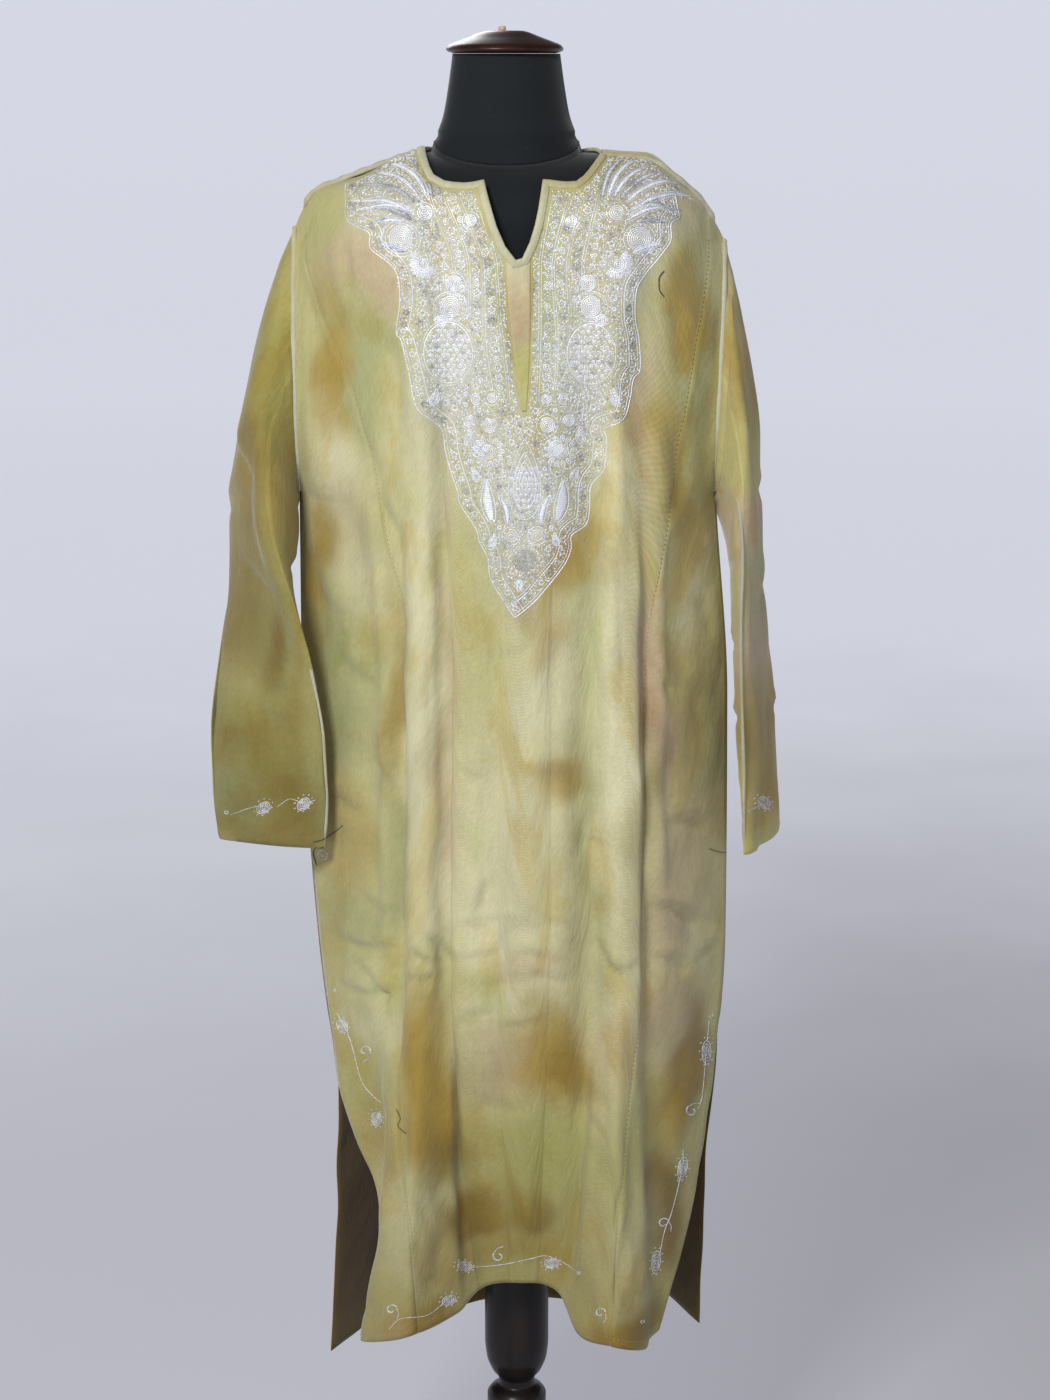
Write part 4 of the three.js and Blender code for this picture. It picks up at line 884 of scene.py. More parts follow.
backDye = [
    (0, 1300, 120, 70, "green", 0.5), (-90, 1320, 50, 80, "ochre", 0.6),
    (90, 1330, 46, 60, "pink", 0.5), (10, 1180, 60, 60, "cream", 0.7),
    (-130, 1180, 36, 80, "olive", 0.6), (130, 1150, 40, 90, "ochre", 0.6),
    (-40, 1060, 50, 50, "ochre", 0.85), (60, 1020, 40, 70, "lime", 0.6),
    (-150, 1000, 34, 80, "green", 0.7), (150, 960, 40, 90, "pink", 0.6),
    (0, 900, 60, 60, "cream", 0.7), (-80, 860, 40, 60, "pink", 0.5),
    (80, 830, 50, 50, "ochre", 0.8), (-20, 740, 60, 50, "green", 0.6),
    (-140, 760, 46, 60, "ochre", 0.5), (150, 740, 40, 60, "green", 0.6),
    (30, 620, 60, 50, "ochre", 0.7), (-90, 590, 50, 60, "lime", 0.6),
    (120, 560, 50, 70, "cream", 0.6), (-10, 480, 60, 50, "brown", 0.5),
    (-140, 440, 46, 90, "pink", 0.8), (-172, 330, 40, 90, "pink", 0.7),
    (90, 420, 50, 60, "ochre", 0.6), (0, 340, 60, 50, "lime", 0.7),
    (160, 380, 40, 80, "pink", 0.7), (-80, 300, 50, 40, "ochre", 0.7),
    (80, 290, 60, 40, "brown", 0.5), (-120, 1430, 60, 40, "lime", 0.5),
    (110, 1450, 60, 40, "ochre", 0.6), (0, 1440, 50, 30, "pink", 0.5),
]
sleeveDye = {
    "left": [
        (-246, 1200, 30, 40, "olive", 0.8), (-256, 1150, 40, 30, "ochre", 0.5),
        (-230, 1260, 30, 60, "lime", 0.6), (-262, 1085, 40, 40, "olive", 0.6),
        (-236, 1060, 18, 60, "green", 0.7), (-286, 1030, 30, 50, "olive", 0.8),
        (-252, 1010, 26, 36, "green", 0.55), (-242, 1015, 11, 40, "brown", 0.95),
        (-250, 985, 14, 30, "brown", 0.6), (-280, 960, 24, 34, "cream", 0.35),
        (-292, 925, 26, 40, "green", 0.6), (-262, 930, 30, 26, "lime", 0.6),
        (-230, 940, 24, 60, "green", 0.65), (-214, 900, 16, 60, "ochre", 0.4),
        (-280, 890, 34, 24, "olive", 0.6), (-250, 870, 34, 22, "lime", 0.5),
        (-290, 850, 24, 26, "green", 0.5), (-226, 840, 30, 30, "ochre", 0.5),
        (-266, 820, 50, 16, "olive", 0.45), (-208, 1120, 10, 120, "ochre", 0.6),
        (-250, 1100, 60, 320, "olive", 0.3),
    ],
    "right": [
        (222, 1280, 30, 50, "olive", 0.7), (230, 1200, 34, 50, "lime", 0.6),
        (234, 1130, 30, 60, "pink", 0.8), (240, 1060, 30, 60, "green", 0.6),
        (244, 1000, 30, 50, "pink", 0.7), (240, 940, 26, 40, "olive", 0.5),
        (252, 900, 26, 40, "brown", 0.4), (244, 850, 30, 40, "olive", 0.6),
        (250, 812, 30, 18, "lime", 0.6),
    ],
}
sleeveTone = {  # what the sleeves' dye is multiplied by, above and at the cuff
    "left": ((0.76, 0.74, 0.58), (0.56, 0.56, 0.48)),
    "right": ((1.08, 1.05, 1.06), (1.14, 1.08, 0.96)),
}
# Ragged stain edges, and the painted shade towards the hem: where it starts, how far it fades in
# and what it multiplies the colour by.
dyeGrainAndHemShade = {"seed": 21, "count": 40, "hemZ": 300, "fade": 380, "hemShade": (0.74, 0.71, 0.62)}


def dyeAndShadeAt(x, z, stains, phase):
    # Starts from the undyed colour and mixes in each stain by a soft bell with ragged edges; some
    # of the front's stains are painted highlight and painted shade along its folds, and the hem
    # gets painted shade.
    rng = np.random.default_rng(dyeGrainAndHemShade["seed"] + phase)
    raggedX, raggedZ = np.zeros_like(x), np.zeros_like(x)
    for number in range(dyeGrainAndHemShade["count"]):
        slow = number % 2 == 0
        span = rng.uniform(60, 190) if slow else rng.uniform(12, 45)
        turn = rng.uniform(0, math.pi)
        way = x * math.cos(turn) + z * math.sin(turn)
        wave = np.sin(2 * math.pi * way / span + rng.uniform(0, 6.28))
        reach = 0.016 if slow else 0.014
        raggedX += rng.normal(0, reach) * span * wave
        raggedZ += rng.normal(0, 1.6 * reach) * span * wave
    colour = np.broadcast_to(dyeColours["base"], (*x.shape, 3)).copy()
    for atX, atZ, halfX, halfZ, dye, strength in stains:
        far = ((x + raggedX - atX) / halfX) ** 2 + ((z + raggedZ - atZ) / halfZ) ** 2
        sharp = 2.1 if dye in ("ochre", "brown", "olive") else 1.3
        amount = (np.minimum(1.2 * strength, 1) * np.exp(-0.75 * far ** sharp))[..., None]
        colour = colour * (1 - amount) + dyeColours[dye] * amount
    # Painted shade: towards the hem the colour is made darker and yellower, for the light that
    # falls off there.
    above = ease((z - dyeGrainAndHemShade["hemZ"]) / dyeGrainAndHemShade["fade"])[..., None]
    return colour * lerp(np.array(dyeGrainAndHemShade["hemShade"]), np.ones(3), above)


# inside: what the panels' inner walls' dye is multiplied by, a painted shade for the dark inside
# of the garment.
panelGrid = {"front": 225, "back": 200, "bunching": 1.12, "inside": (0.36, 0.29, 0.2)}
hem = {"turn": 10.0, "swell": 0.55, "dent": 0.5, "dentIn": 8.0, "dentWide": 1.6, "round": 2.0}


def turnedHem(fromEdge):
    # The turned hem is thicker than the cloth, with a dent where it is stitched down and a
    # quarter round at its edge. Returns the swelling and how much the edge is rounded off.
    swell = hem["swell"] * ease((hem["turn"] + 1.5 - fromEdge) / 2.5)
    swell = swell - hem["dent"] * np.exp(-(((fromEdge - hem["dentIn"]) / hem["dentWide"]) ** 2))
    away = 1 - np.clip(fromEdge / hem["round"], 0, 1)
    return swell, cloth["wall"] / 2 * (1 - np.sqrt(np.clip(1 - away ** 2, 0, 1)))


def lengthsAlong(points, axis):
    # The way from the first point of a row or column to each of its points.
    steps = np.linalg.norm(np.diff(points, axis=axis), axis=2)
    return np.insert(np.cumsum(steps, axis=axis), 0, 0.0, axis=axis)


def panelPlaces(side, point, lines, shares, topW, rows):
    # The lines wander with height, so s is found again at each height, a few times over.
    fromLine, toLine = lines
    v = (np.linspace(0, 1, rows) ** panelGrid["bunching"])[:, None]
    topS = lerp(fromLine(cloth["yokeZ"]), toLine(cloth["yokeZ"]), shares)[None]
    startW = topW(topS)
    s = np.broadcast_to(topS, (rows, len(shares)))
    for _ in range(6):
        w = lerp(startW, side.wAt(s, side.hemZ(s)), v)
        z = point(s, w)[..., 2]
        s = lerp(fromLine(z), toLine(z), shares[None])
    return s, w


def addPanel(name, side, point, lines, shares, topW, rows, free, flat, area):
    s, w = panelPlaces(side, point, lines, shares, topW, rows)
    spot = point(s, w)
    normal = outward(side, point, s, w)
    relief = sideRelief(side, s, w, point)
    fromHem = side.wAt(s, side.hemZ(s)) - w
    across = lengthsAlong(spot, 1)
    open_ = ease((cloth["slitTopZ"] + 4 - spot[..., 2]) / 10)
    fromEdge = np.full(s.shape, 1e3)
    if free:
        fromEdge = lerp(fromEdge, across if free == "left" else across[:, -1:] - across, open_)
    turnIn = np.minimum(fromHem, fromEdge)
    swell, roundOff = turnedHem(turnIn)
    outer = spot + normal * (relief + swell - roundOff)[..., None]
    inner = spot + normal * (relief - cloth["wall"] - 0.4 * swell + roundOff)[..., None]
    vertices, faces = wall(outer, inner, side is back)
    piece = makeMesh(name + "_cloth", vertices, faces[:, ::-1], twillLook)
    place = np.stack([across + spot[:1, :1, 0], -lengthsAlong(spot, 0)], axis=-1)
    stains, phase = (frontDyeAndFoldShading, 0) if side is front else (backDye, 5)
    # The inner wall is darkened: painted shade inside the garment.
    dress(piece, place, dyeAndShadeAt(spot[..., 0], spot[..., 2], stains, phase), panelGrid["inside"])
    ride(piece, name, name)
    return piece


panelSizes = {  # flat size and area of each panel, in metres
    "front_gore_left": ((0.17, 1.16), 0.105),
    "front_center": ((0.45, 1.22), 0.42),
    "front_gore_right": ((0.17, 1.16), 0.105),
    "back_gore_left": ((0.17, 1.26), 0.12),
    "back_center": ((0.45, 1.3), 0.45),
    "back_gore_right": ((0.17, 1.26), 0.12),
}


def sharesFor(side, seamLeft, seamRight, xs):
    start, end = seamLeft(cloth["yokeZ"]), seamRight(cloth["yokeZ"])
    shares = np.clip((side.lineAt(np.asarray(xs)) - start) / (end - start), 0, 1)
    return np.concatenate([[0], shares, [1]])


def subdivide(line, counts):
    pieces = [np.linspace(a, b, n, endpoint=False) for a, b, n in zip(line[:-1], line[1:], counts)]
    return np.concatenate(pieces + [line[-1:]])


def finer(values, step):
    counts = [max(int(math.ceil((b - a) / step)), 1) for a, b in zip(values[:-1], values[1:])]
    return subdivide(values, counts)


def addBody():
    frontXs = np.concatenate([
        np.linspace(-205, -92, 27), finer(necklineX, 3.2), np.linspace(85, 190, 25),
    ])
    backXs = np.linspace(-205, 188, 84)
    goreShares = np.linspace(0, 1, 27)
    sides = [
        ("front", front, front.point, (frontSeamLeft, frontSeamRight), frontXs, frontTopW),
        ("back", back, backPoint, (backSeamLeft, backSeamRight), backXs, backTopW),
    ]
    for name, side, point, (seamLeft, seamRight), xs, topW in sides:
        rows = panelGrid[name]
        edgeLeft, edgeRight = (lambda z: 0 * z), (lambda z: 0 * z + side.last)
        middle = sharesFor(side, seamLeft, seamRight, xs)
        for part, lines, shares, free in (
            ("_gore_left", (edgeLeft, seamLeft), goreShares, "left"),
            ("_center", (seamLeft, seamRight), middle, ""),
            ("_gore_right", (seamRight, edgeRight), goreShares, "right"),
        ):
            piece = name + part
            addPanel(piece, side, point, lines, shares, topW, rows, free, *panelSizes[piece])
            print("panel", piece)


addBody()

sleeveShape = {
    "around": 60, "along": 118, "flatten": 0.35, "crease": 1.7, "pressed": 0.5, "inwards": 6.5,
}
sleeveCreases = {  # height, start and end round the tube, depth, width, slope
    "left": [
        (936, 1.15, 2.35, 2.2, 4.5, -14), (924, 1.0, 2.3, 1.6, 4.5, -8),
        (905, 1.3, 2.0, 1.0, 5.0, 6), (1010, 0.7, 1.5, 1.4, 6.0, 12),
        (1075, 1.3, 2.5, 1.6, 7.0, -18), (1140, 0.6, 1.7, 1.6, 8.0, 20),
        (1190, 1.4, 2.6, 1.8, 8.0, -22), (968, 1.8, 2.7, 1.0, 5.0, 10),
        (870, 0.8, 1.6, 0.9, 5.0, -5), (930, 4.0, 5.4, 2.0, 5.0, 10),
        (1080, 3.8, 5.2, 1.8, 7.0, -16), (1180, 4.0, 5.6, 1.8, 8.0, 18),
        (850, 4.2, 5.2, 1.0, 5.0, 4),
    ],
    "right": [
        (935, 3.3, 4.9, 2.0, 5.0, -12), (1010, 3.5, 5.0, 1.5, 6.0, 12),
        (1090, 3.3, 4.8, 1.6, 7.0, -16), (1160, 3.4, 5.0, 1.8, 8.0, 18),
        (870, 3.6, 4.8, 1.2, 5.0, 8), (930, 0.3, 1.6, 2.0, 5.0, 10),
        (1060, 0.2, 1.8, 1.8, 7.0, -14), (1150, 0.3, 1.7, 1.8, 8.0, 16),
        (845, 5.0, 6.1, 1.1, 4.5, -6),
    ],
}
sleeveRows = {"left": sleeveLeftRows, "right": sleeveRightRows}
sleeveCurves = {
    which: smoothCurve(np.arange(len(rows)), np.array(rows).T)
    for which, rows in sleeveRows.items()
}


def sleevePoint(which, t, angle, inset=0.0):
    # A ring is its middle plus the long axis times the cosine and the short axis times the sine;
    # towards the cuff the sine is raised to a power, so that the tube lies flat with sharp folds.
    row = sleeveCurves[which](t)
    middle = np.stack(row[0:3], axis=-1)
    long = np.stack(row[3:6], axis=-1)
    short = np.stack(row[6:9], axis=-1)
    flat = ease((t - 3.0) / 2.5) * sleeveShape["flatten"]
    sine = np.sign(np.sin(angle)) * np.abs(np.sin(angle)) ** (1 + flat)
    longSize = np.linalg.norm(long, axis=-1)
    shortSize = np.linalg.norm(short, axis=-1)
    return (
        middle
        + long * (np.cos(angle) * (longSize - inset) / longSize)[..., None]
        + short * (sine * (shortSize - inset) / shortSize)[..., None]
    )


def armholeRing(edgeLine, outwards, angle, inset):
    topZ = float(ridge(front.topX(float(edgeLine))))
    half = (topZ - cloth["underarmZ"]) / 2
    z = topZ - half + (half - inset) * np.sin(angle)
    line = np.full(z.shape, float(edgeLine))
    edge = front.point(line, front.wAt(line, np.minimum(z, topZ)))
    open_ = np.sign(np.cos(angle)) * np.abs(np.cos(angle)) ** (2 * cloth["armholePoint"])
    x = edge[..., 0] + outwards * 0.3
    return np.stack([x, (cloth["armholeHalf"] - inset) * open_, z], axis=-1)


def sleeveSurface(which, u, angle, inset=0.0):
    # u runs from 0 at the armhole to 1 at the cuff.
    edgeLine, outwards = (0, -1) if which == "left" else (front.last, 1)
    t = u * len(sleeveRows[which]) - 1
    below = sleevePoint(which, np.maximum(t, 0), angle, inset)
    top = armholeRing(edgeLine, outwards, angle, inset)
    share = ease(np.clip(t + 1, 0, 1)) * 0.35 + 0.65 * np.clip(t + 1, 0, 1)
    return lerp(top, below, share[..., None])


def sleeveRelief(which, spot, angle, u):
    relief = np.zeros(angle.shape)
    turned = np.mod(angle, 2 * math.pi)
    for height, start, end, depth, width, slope in sleeveCreases[which]:
        a = (turned - start) / (end - start)
        d = spot[..., 2] - height - slope * (a - 0.5) * 2
        fade = np.where((a > 0) & (a < 1), np.sin(math.pi * np.clip(a, 0, 1)) ** 0.8, 0)
        beyond = (d - 1.8 * width) / (1.5 * width)
        trough = np.exp(-((d / width) ** 2)) - 0.6 * np.exp(-(beyond ** 2))
        relief -= sleeveShape["crease"] * depth * fade * trough
    phase = 11 if which == "left" else 17
    x, y, z = np.moveaxis(spot, -1, 0)
    relief += rollingRelief(x * 0.6 + y + 40 * np.sin(turned), z, phase)
    relief += sleeveShape["pressed"] * np.exp(-(((np.cos(angle) - 1) / 0.012) ** 2))  # outer fold
    # The side next to the body swells towards it: at the elbow, or on the right down to the cuff.
    if which == "left":
        along = np.exp(-(((z - 1150) / 90) ** 2))
    else:
        along = ease((1270 - z) / 70) * ease((z - 840) / 90)
    relief += sleeveShape["inwards"] * along * np.clip(-np.sin(angle), 0, 1) ** 1.5
    return relief * ease(u / 0.05)


def addSleeve(which):
    slot = "sleeve_" + which
    rows, columns = sleeveShape["along"], sleeveShape["around"]
    u = np.linspace(0, 1, rows)[:, None] * np.ones((1, columns))
    # More points near the two folds, where the cloth turns sharply.
    even = np.linspace(0, 2 * math.pi, columns, endpoint=False)
    angle = (even - 0.32 * np.sin(2 * even))[None] * np.ones((rows, 1))
    spot = sleeveSurface(which, u, angle)
    around = sleeveSurface(which, u, angle + 0.02) - sleeveSurface(which, u, angle - 0.02)
    below = sleeveSurface(which, np.minimum(u + 0.004, 1), angle)
    down = below - sleeveSurface(which, np.maximum(u - 0.004, 0), angle)
    normal = unit(np.cross(down, around))
    middle = spot.mean(axis=1, keepdims=True)
    if np.mean(np.sum(normal * (spot - middle), axis=-1)) < 0:
        normal = -normal
    relief = sleeveRelief(which, spot, angle, u)
    fromHem = lengthsAlong(spot[::-1], 0)[::-1]
    swell, roundOff = turnedHem(fromHem)
    outer = spot + normal * (relief + swell - roundOff)[..., None]
    inner = sleeveSurface(which, u, angle, cloth["wall"]) + normal * (relief + roundOff)[..., None]
    vertices = np.concatenate([outer.reshape(-1, 3), inner.reshape(-1, 3)])
    shell = tubeFaces(rows, columns)
    inside = rows * columns
    ring = np.arange(columns)
    nextRing = (ring + 1) % columns
    low = (rows - 1) * columns
    faces = np.concatenate([
        shell,
        shell[:, ::-1] + inside,
        np.stack([ring + inside, nextRing + inside, nextRing, ring], axis=1),
        low + np.stack([ring, nextRing, nextRing + inside, ring + inside], axis=1),
    ])
    # The order that turns the outer wall outwards, tried on one face.
    tried = faces[columns * 40]
    first = vertices[tried]
    facing = np.cross(first[1] - first[0], first[2] - first[0])
    if np.dot(facing, normal.reshape(-1, 3)[tried[0]]) < 0:
        faces = faces[:, ::-1]
    piece = makeMesh(slot + "_cloth", vertices, faces, twillLook)
    girth = np.linalg.norm(np.roll(spot, -1, axis=1) - spot, axis=2)
    across = np.concatenate([np.zeros((rows, 1)), np.cumsum(girth, axis=1)[:, :-1]], axis=1)
    across = across - across[:, columns // 2:columns // 2 + 1]
    above, atCuff = np.array(sleeveTone[which])
    tone = lerp(atCuff, above, ease((spot[..., 2] - 850) / 130)[..., None])
    # Painted highlight: the dye is lightened by up to a fifth along the sleeve's two flat folds.
    fold = np.exp(-((1 - np.abs(np.cos(angle))) / 0.0015) ** 2)[..., None]
    dye = dyeAndShadeAt(spot[..., 0], spot[..., 2], sleeveDye[which], 9) * tone * (1 + 0.2 * fold)
    # The inner wall gets half the dye's brightness: painted shade inside the sleeve.
    dress(piece, np.stack([across, fromHem], axis=-1), dye, 0.5)
    ride(piece, slot, slot)
    print("sleeve", which)


addSleeve("left")
addSleeve("right")


def frontSpot(x, t):
    # The cloth's own point at x across and t up, where t is the height below the shoulder's round
    # and goes on as a length along the cloth over it. Returns the line s and the way w.
    s = front.lineAt(x)
    for _ in range(6):
        w = ridge(front.topX(s)) - front.roll + front.bend - t
        z = front.heightAt(s, np.maximum(w, 0))
        slope = (front.xAt(s + 0.01, z) - front.xAt(s - 0.01, z)) / 0.02
        s = np.clip(s + (x - front.xAt(s, z)) / slope, 0.0, front.last)
    return s, np.maximum(w, 0.0)


def clothSurface(side, point, s, w):
    normal = outward(side, point, s, w)
    return point(s, w) + normal * sideRelief(side, s, w, point)[..., None]


def onFront(x, t, lift=0.0):
    # Points on the front at (x, t), lifted off it, with the direction that faces outwards.
    s, w = frontSpot(x, t)
    spot = clothSurface(front, front.point, s, w)
    across = clothSurface(front, front.point, s + 0.02, w) - spot
    down = clothSurface(front, front.point, s, w + 0.6) - spot
    normal = unit(np.cross(down, across))
    return spot + normal * lift, normal


def tOf(x, z):
    # The flat height t of a place on the front that is seen at x and z.
    top = ridge(x)
    share = np.clip((z - (top - front.roll)) / front.roll, 0, 1)
    return np.where(z > top - front.roll, top - front.roll + front.roll * np.arcsin(share), z)


bindingSection = [  # of the bound edge's roll: the way in over the cloth, the height off it
    (1.0, -2.6), (-0.2, -2.3), (-0.9, -1.2), (-0.9, 0.3), (-0.2, 1.4), (1.2, 2.0), (3.2, 1.9),
    (5.0, 1.5), (6.0, 1.1), (6.4, 0.5), (6.2, -0.3), (3.0, -0.6),
]


def offsetLine(line, distance):
    # Moves a line sideways by a distance, with its corners mitred.
    ahead = unit(np.diff(line, axis=0))
    side = np.stack([ahead[:, 1], -ahead[:, 0]], axis=1)
    before = np.concatenate([side[:1], side])
    after = np.concatenate([side, side[-1:]])
    bisector = unit(before + after)
    reach = np.minimum(1 / np.maximum(np.sum(bisector * after, axis=1), 0.3), 1.6)
    return line + bisector * (distance * reach)[:, None]


def turnOutwards(piece):
    # Turns a closed mesh so that its faces look outwards: its signed volume must be positive.
    mesh = piece.data
    mesh.calc_loop_triangles()
    corners = np.empty(len(mesh.loop_triangles) * 3, dtype=np.int32)
    mesh.loop_triangles.foreach_get("vertices", corners)
    spots = np.empty(len(mesh.vertices) * 3)
    mesh.vertices.foreach_get("co", spots)
    a, b, c = np.moveaxis(spots.reshape(-1, 3)[corners.reshape(-1, 3)], 1, 0)
    if np.sum(a * np.cross(b, c)) < 0:
        mesh.flip_normals()


def addTube(name, rings, look):
    # Rings of points, one after another, joined into a tube with closed ends.
    count, around = rings.shape[:2]
    faces = tubeFaces(count, around).tolist()
    faces.append(list(range(around))[::-1])
    faces.append([(count - 1) * around + k for k in range(around)])
    piece = makeMesh(name, rings, faces, look)
    turnOutwards(piece)
    return piece


placketDye = [
    (3, 1370, 14, 18, "cream", 0.9), (4, 1335, 14, 30, "pink", 0.75),
    (9, 1290, 12, 26, "lime", 0.5),
]
bindingDye = [
    (0, 1430, 220, 160, "silver", 0.7), (0, 1430, 220, 160, "lime", 0.25),
    (60, 1460, 30, 20, "ochre", 0.2),
]


def keepEndsFlat(piece):
    smooth = [len(face.vertices) < 6 for face in piece.data.polygons]
    piece.data.polygons.foreach_set("use_smooth", smooth)


def addFrontBinding():
    line = np.array(neckline)
    line = np.stack([line[:, 0], tOf(line[:, 0], line[:, 1])], axis=1)
    lengths = np.linalg.norm(np.diff(line, axis=0), axis=1)
    counts = np.maximum((lengths / 1.6).astype(int), 1)
    columns = []
    for inwards, height in bindingSection:
        path = subdivide(offsetLine(line, inwards), counts)
        spot, normal = onFront(path[:, 0], path[:, 1])
        columns.append(spot + normal * height)
    rings = np.stack(columns, axis=1)
    piece = addTube("neck_binding_front", rings, twillLook)
    dress(piece, rings[..., [0, 2]], dyeAndShadeAt(rings[..., 0], rings[..., 2], bindingDye, 0))
    edges = ("neck_binding_left", "neck_binding_right", "slit_binding_left", "slit_binding_right")
    ride(piece, edges[0], *edges)
    print("front binding")


def addBackBinding():
    left, right = cloth["neckLeft"], cloth["neckRight"]
    angle = np.linspace(0.02, math.pi - 0.02, 110)
    x = lerp(left, right, (1 - np.cos(angle)) / 2)
    s = back.lineAt(x)
    w = backTopW(s)
    columns = []
    for inwards, height in bindingSection:
        spot = backPoint(s, w + inwards)
        columns.append(spot + outward(back, backPoint, s, w + inwards) * (height * 0.85))
    rings = np.stack(columns, axis=1)
    piece = addTube("neck_binding_behind", rings, twillLook)
    dress(piece, rings[..., :2], dyeAndShadeAt(rings[..., 0], rings[..., 2], bindingDye, 5))
    ride(piece, "neck_binding_back", "neck_binding_back")
    print("back binding")


placket = {"rows": 56, "columns": 12, "lift": 0.9, "worn": 0.6, "edge": 0.12, "thick": 0.7}


def addPlacket():
    left, right = oneCurve(placketRows, 0, 1), oneCurve(placketRows, 0, 2)
    rows, columns = placket["rows"], placket["columns"]
    z = np.linspace(placketRows[0][0] + 3, placketRows[-1][0], rows)
    z = z[:, None] * np.ones((1, columns))
    share = np.linspace(0, 1, columns)[None]
    x = lerp(left(z), right(z), share)
    outer, normal = onFront(x, tOf(x, z), placket["lift"])
    edge = np.minimum(share, 1 - share)
    outer = outer - normal * (placket["worn"] * (1 - ease(edge / placket["edge"])))[..., None]
    inner = outer - normal * placket["thick"]
    piece = makeMesh("placket_cloth", *wall(outer, inner), placketLook)
    turnOutwards(piece)
    dress(piece, np.stack([x, z], axis=-1), dyeAndShadeAt(x, z, placketDye, 0), 1.0)
    ride(piece, "placket_strip", "placket_strip")
    print("placket")


addFrontBinding()
addBackBinding()
addPlacket()

form = {
    "neckX": -9.0, "neckWidth": 70.0, "neckDepth": 60.0, "sideZ": 1494.0, "frontZ": 1474.0,
    "backZ": 1482.0, "bottomZ": 800.0, "shoulder": 168.0, "settle": 3.4, "square": 2.3,
}
torsoRows = [  # z, half width, depth in front, depth behind
    (1400, 168, 104, 92), (1330, 158, 110, 97), (1250, 152, 117, 94), (1170, 136, 102, 86),
    (1080, 118, 86, 80), (980, 142, 96, 98), (880, 164, 106, 104), (800, 160, 104, 98),
]
neckRows = [(1576.7, 51.5, 46), (1545, 56, 50), (1518, 61, 54), (1504, 66, 58)]
torsoWidth, torsoFront, torsoBack = (oneCurve(torsoRows, 0, k) for k in (1, 2, 3))


def torsoPoint(topX, w, facing):
    # The form's shoulders roll over as the cloth's do; below, each section is a squared oval.
    roll = cloth["frontRoll"] if facing < 0 else cloth["backRoll"]
    bend = roll * math.pi / 2
    angle = np.minimum(w / roll, math.pi / 2)
    top = ridge(topX) - roll
    z = np.where(w < bend, top + (roll - form["settle"]) * np.cos(angle), top - (w - bend))
    share = np.clip(topX / form["shoulder"], -1, 1)
    depth = (torsoFront if facing < 0 else torsoBack)(z)
    round_ = (1 - np.abs(share) ** form["square"]) ** (1 / form["square"])
    return np.stack([share * torsoWidth(z), facing * depth * round_ * np.sin(angle), z], axis=-1)


def neckSeam(angle, facing, drop=0.0):
    away = np.sin(angle)
    low = form["frontZ"] if facing < 0 else form["backZ"]
    return np.stack([
        form["neckX"] - form["neckWidth"] * np.cos(angle),
        facing * form["neckDepth"] * away,
        lerp(form["sideZ"], low, away) - drop,
    ], axis=-1)


def addTorso():
    rows, seamCount, side = 90, 31, 14
    seamAngles = np.linspace(0, math.pi, seamCount)
    leftX = np.linspace(-form["shoulder"], form["neckX"] - form["neckWidth"] - 3, side)
    rightX = np.linspace(form["neckX"] + form["neckWidth"] + 3, form["shoulder"], side)
    v = (np.linspace(0, 1, rows) ** 1.3)[:, None]
    halves = []
    for facing in (-1, 1):
        roll = cloth["frontRoll"] if facing < 0 else cloth["backRoll"]
        starts = neckSeam(seamAngles, facing, 0.3)
        flank = (torsoFront if facing < 0 else torsoBack)(np.array([cloth["yokeZ"]]))[0]
        startW = roll * np.arcsin(np.clip(np.abs(starts[:, 1]) / flank, 0, 1)) + 4
        topX = np.concatenate([leftX, starts[:, 0], rightX])
        start = np.concatenate([np.zeros(side), startW, np.zeros(side)])
        bottom = roll * math.pi / 2 + ridge(topX) - roll - form["bottomZ"]
        w = lerp(start[None], bottom[None], v)
        grid = torsoPoint(topX[None] * np.ones((rows, 1)), w, facing)
        grid[0, side:side + seamCount] = starts
        halves.append(grid)
    count = halves[0].shape[1]
    for end in (0, count - 1):
        halves[1][:, end, 1] = 0
        halves[0][:, end] = halves[1][:, end]
    vertices = np.stack(halves)
    size = rows * count
    faces = np.concatenate([gridFaces(rows, count), gridFaces(rows, count, size, True)]).tolist()
    loop = np.arange(count)
    low = (rows - 1) * count
    faces.append(np.concatenate([low + loop, size + low + loop[1:-1][::-1]]).tolist())
    ring = side + np.arange(seamCount)
    faces.append(np.concatenate([ring, size + ring[1:-1][::-1]]).tolist()[::-1])
    piece = makeMesh("form_torso_jersey", vertices, faces, jerseyLook)
    mergeDoubles(piece)
    turnOutwards(piece)
    keepEndsFlat(piece)
    ride(piece, "form_torso", "form_torso")
    print("form")


def mergeDoubles(piece):
    work = bmesh.new()
    work.from_mesh(piece.data)
    bmesh.ops.remove_doubles(work, verts=work.verts, dist=1e-6)
    bmesh.ops.dissolve_degenerate(work, edges=work.edges, dist=1e-7)
    work.to_mesh(piece.data)
    work.free()


neckFlare = {"hollow": -1.5, "roll": 0.8, "rollAt": 0.94, "rollWide": 0.05}


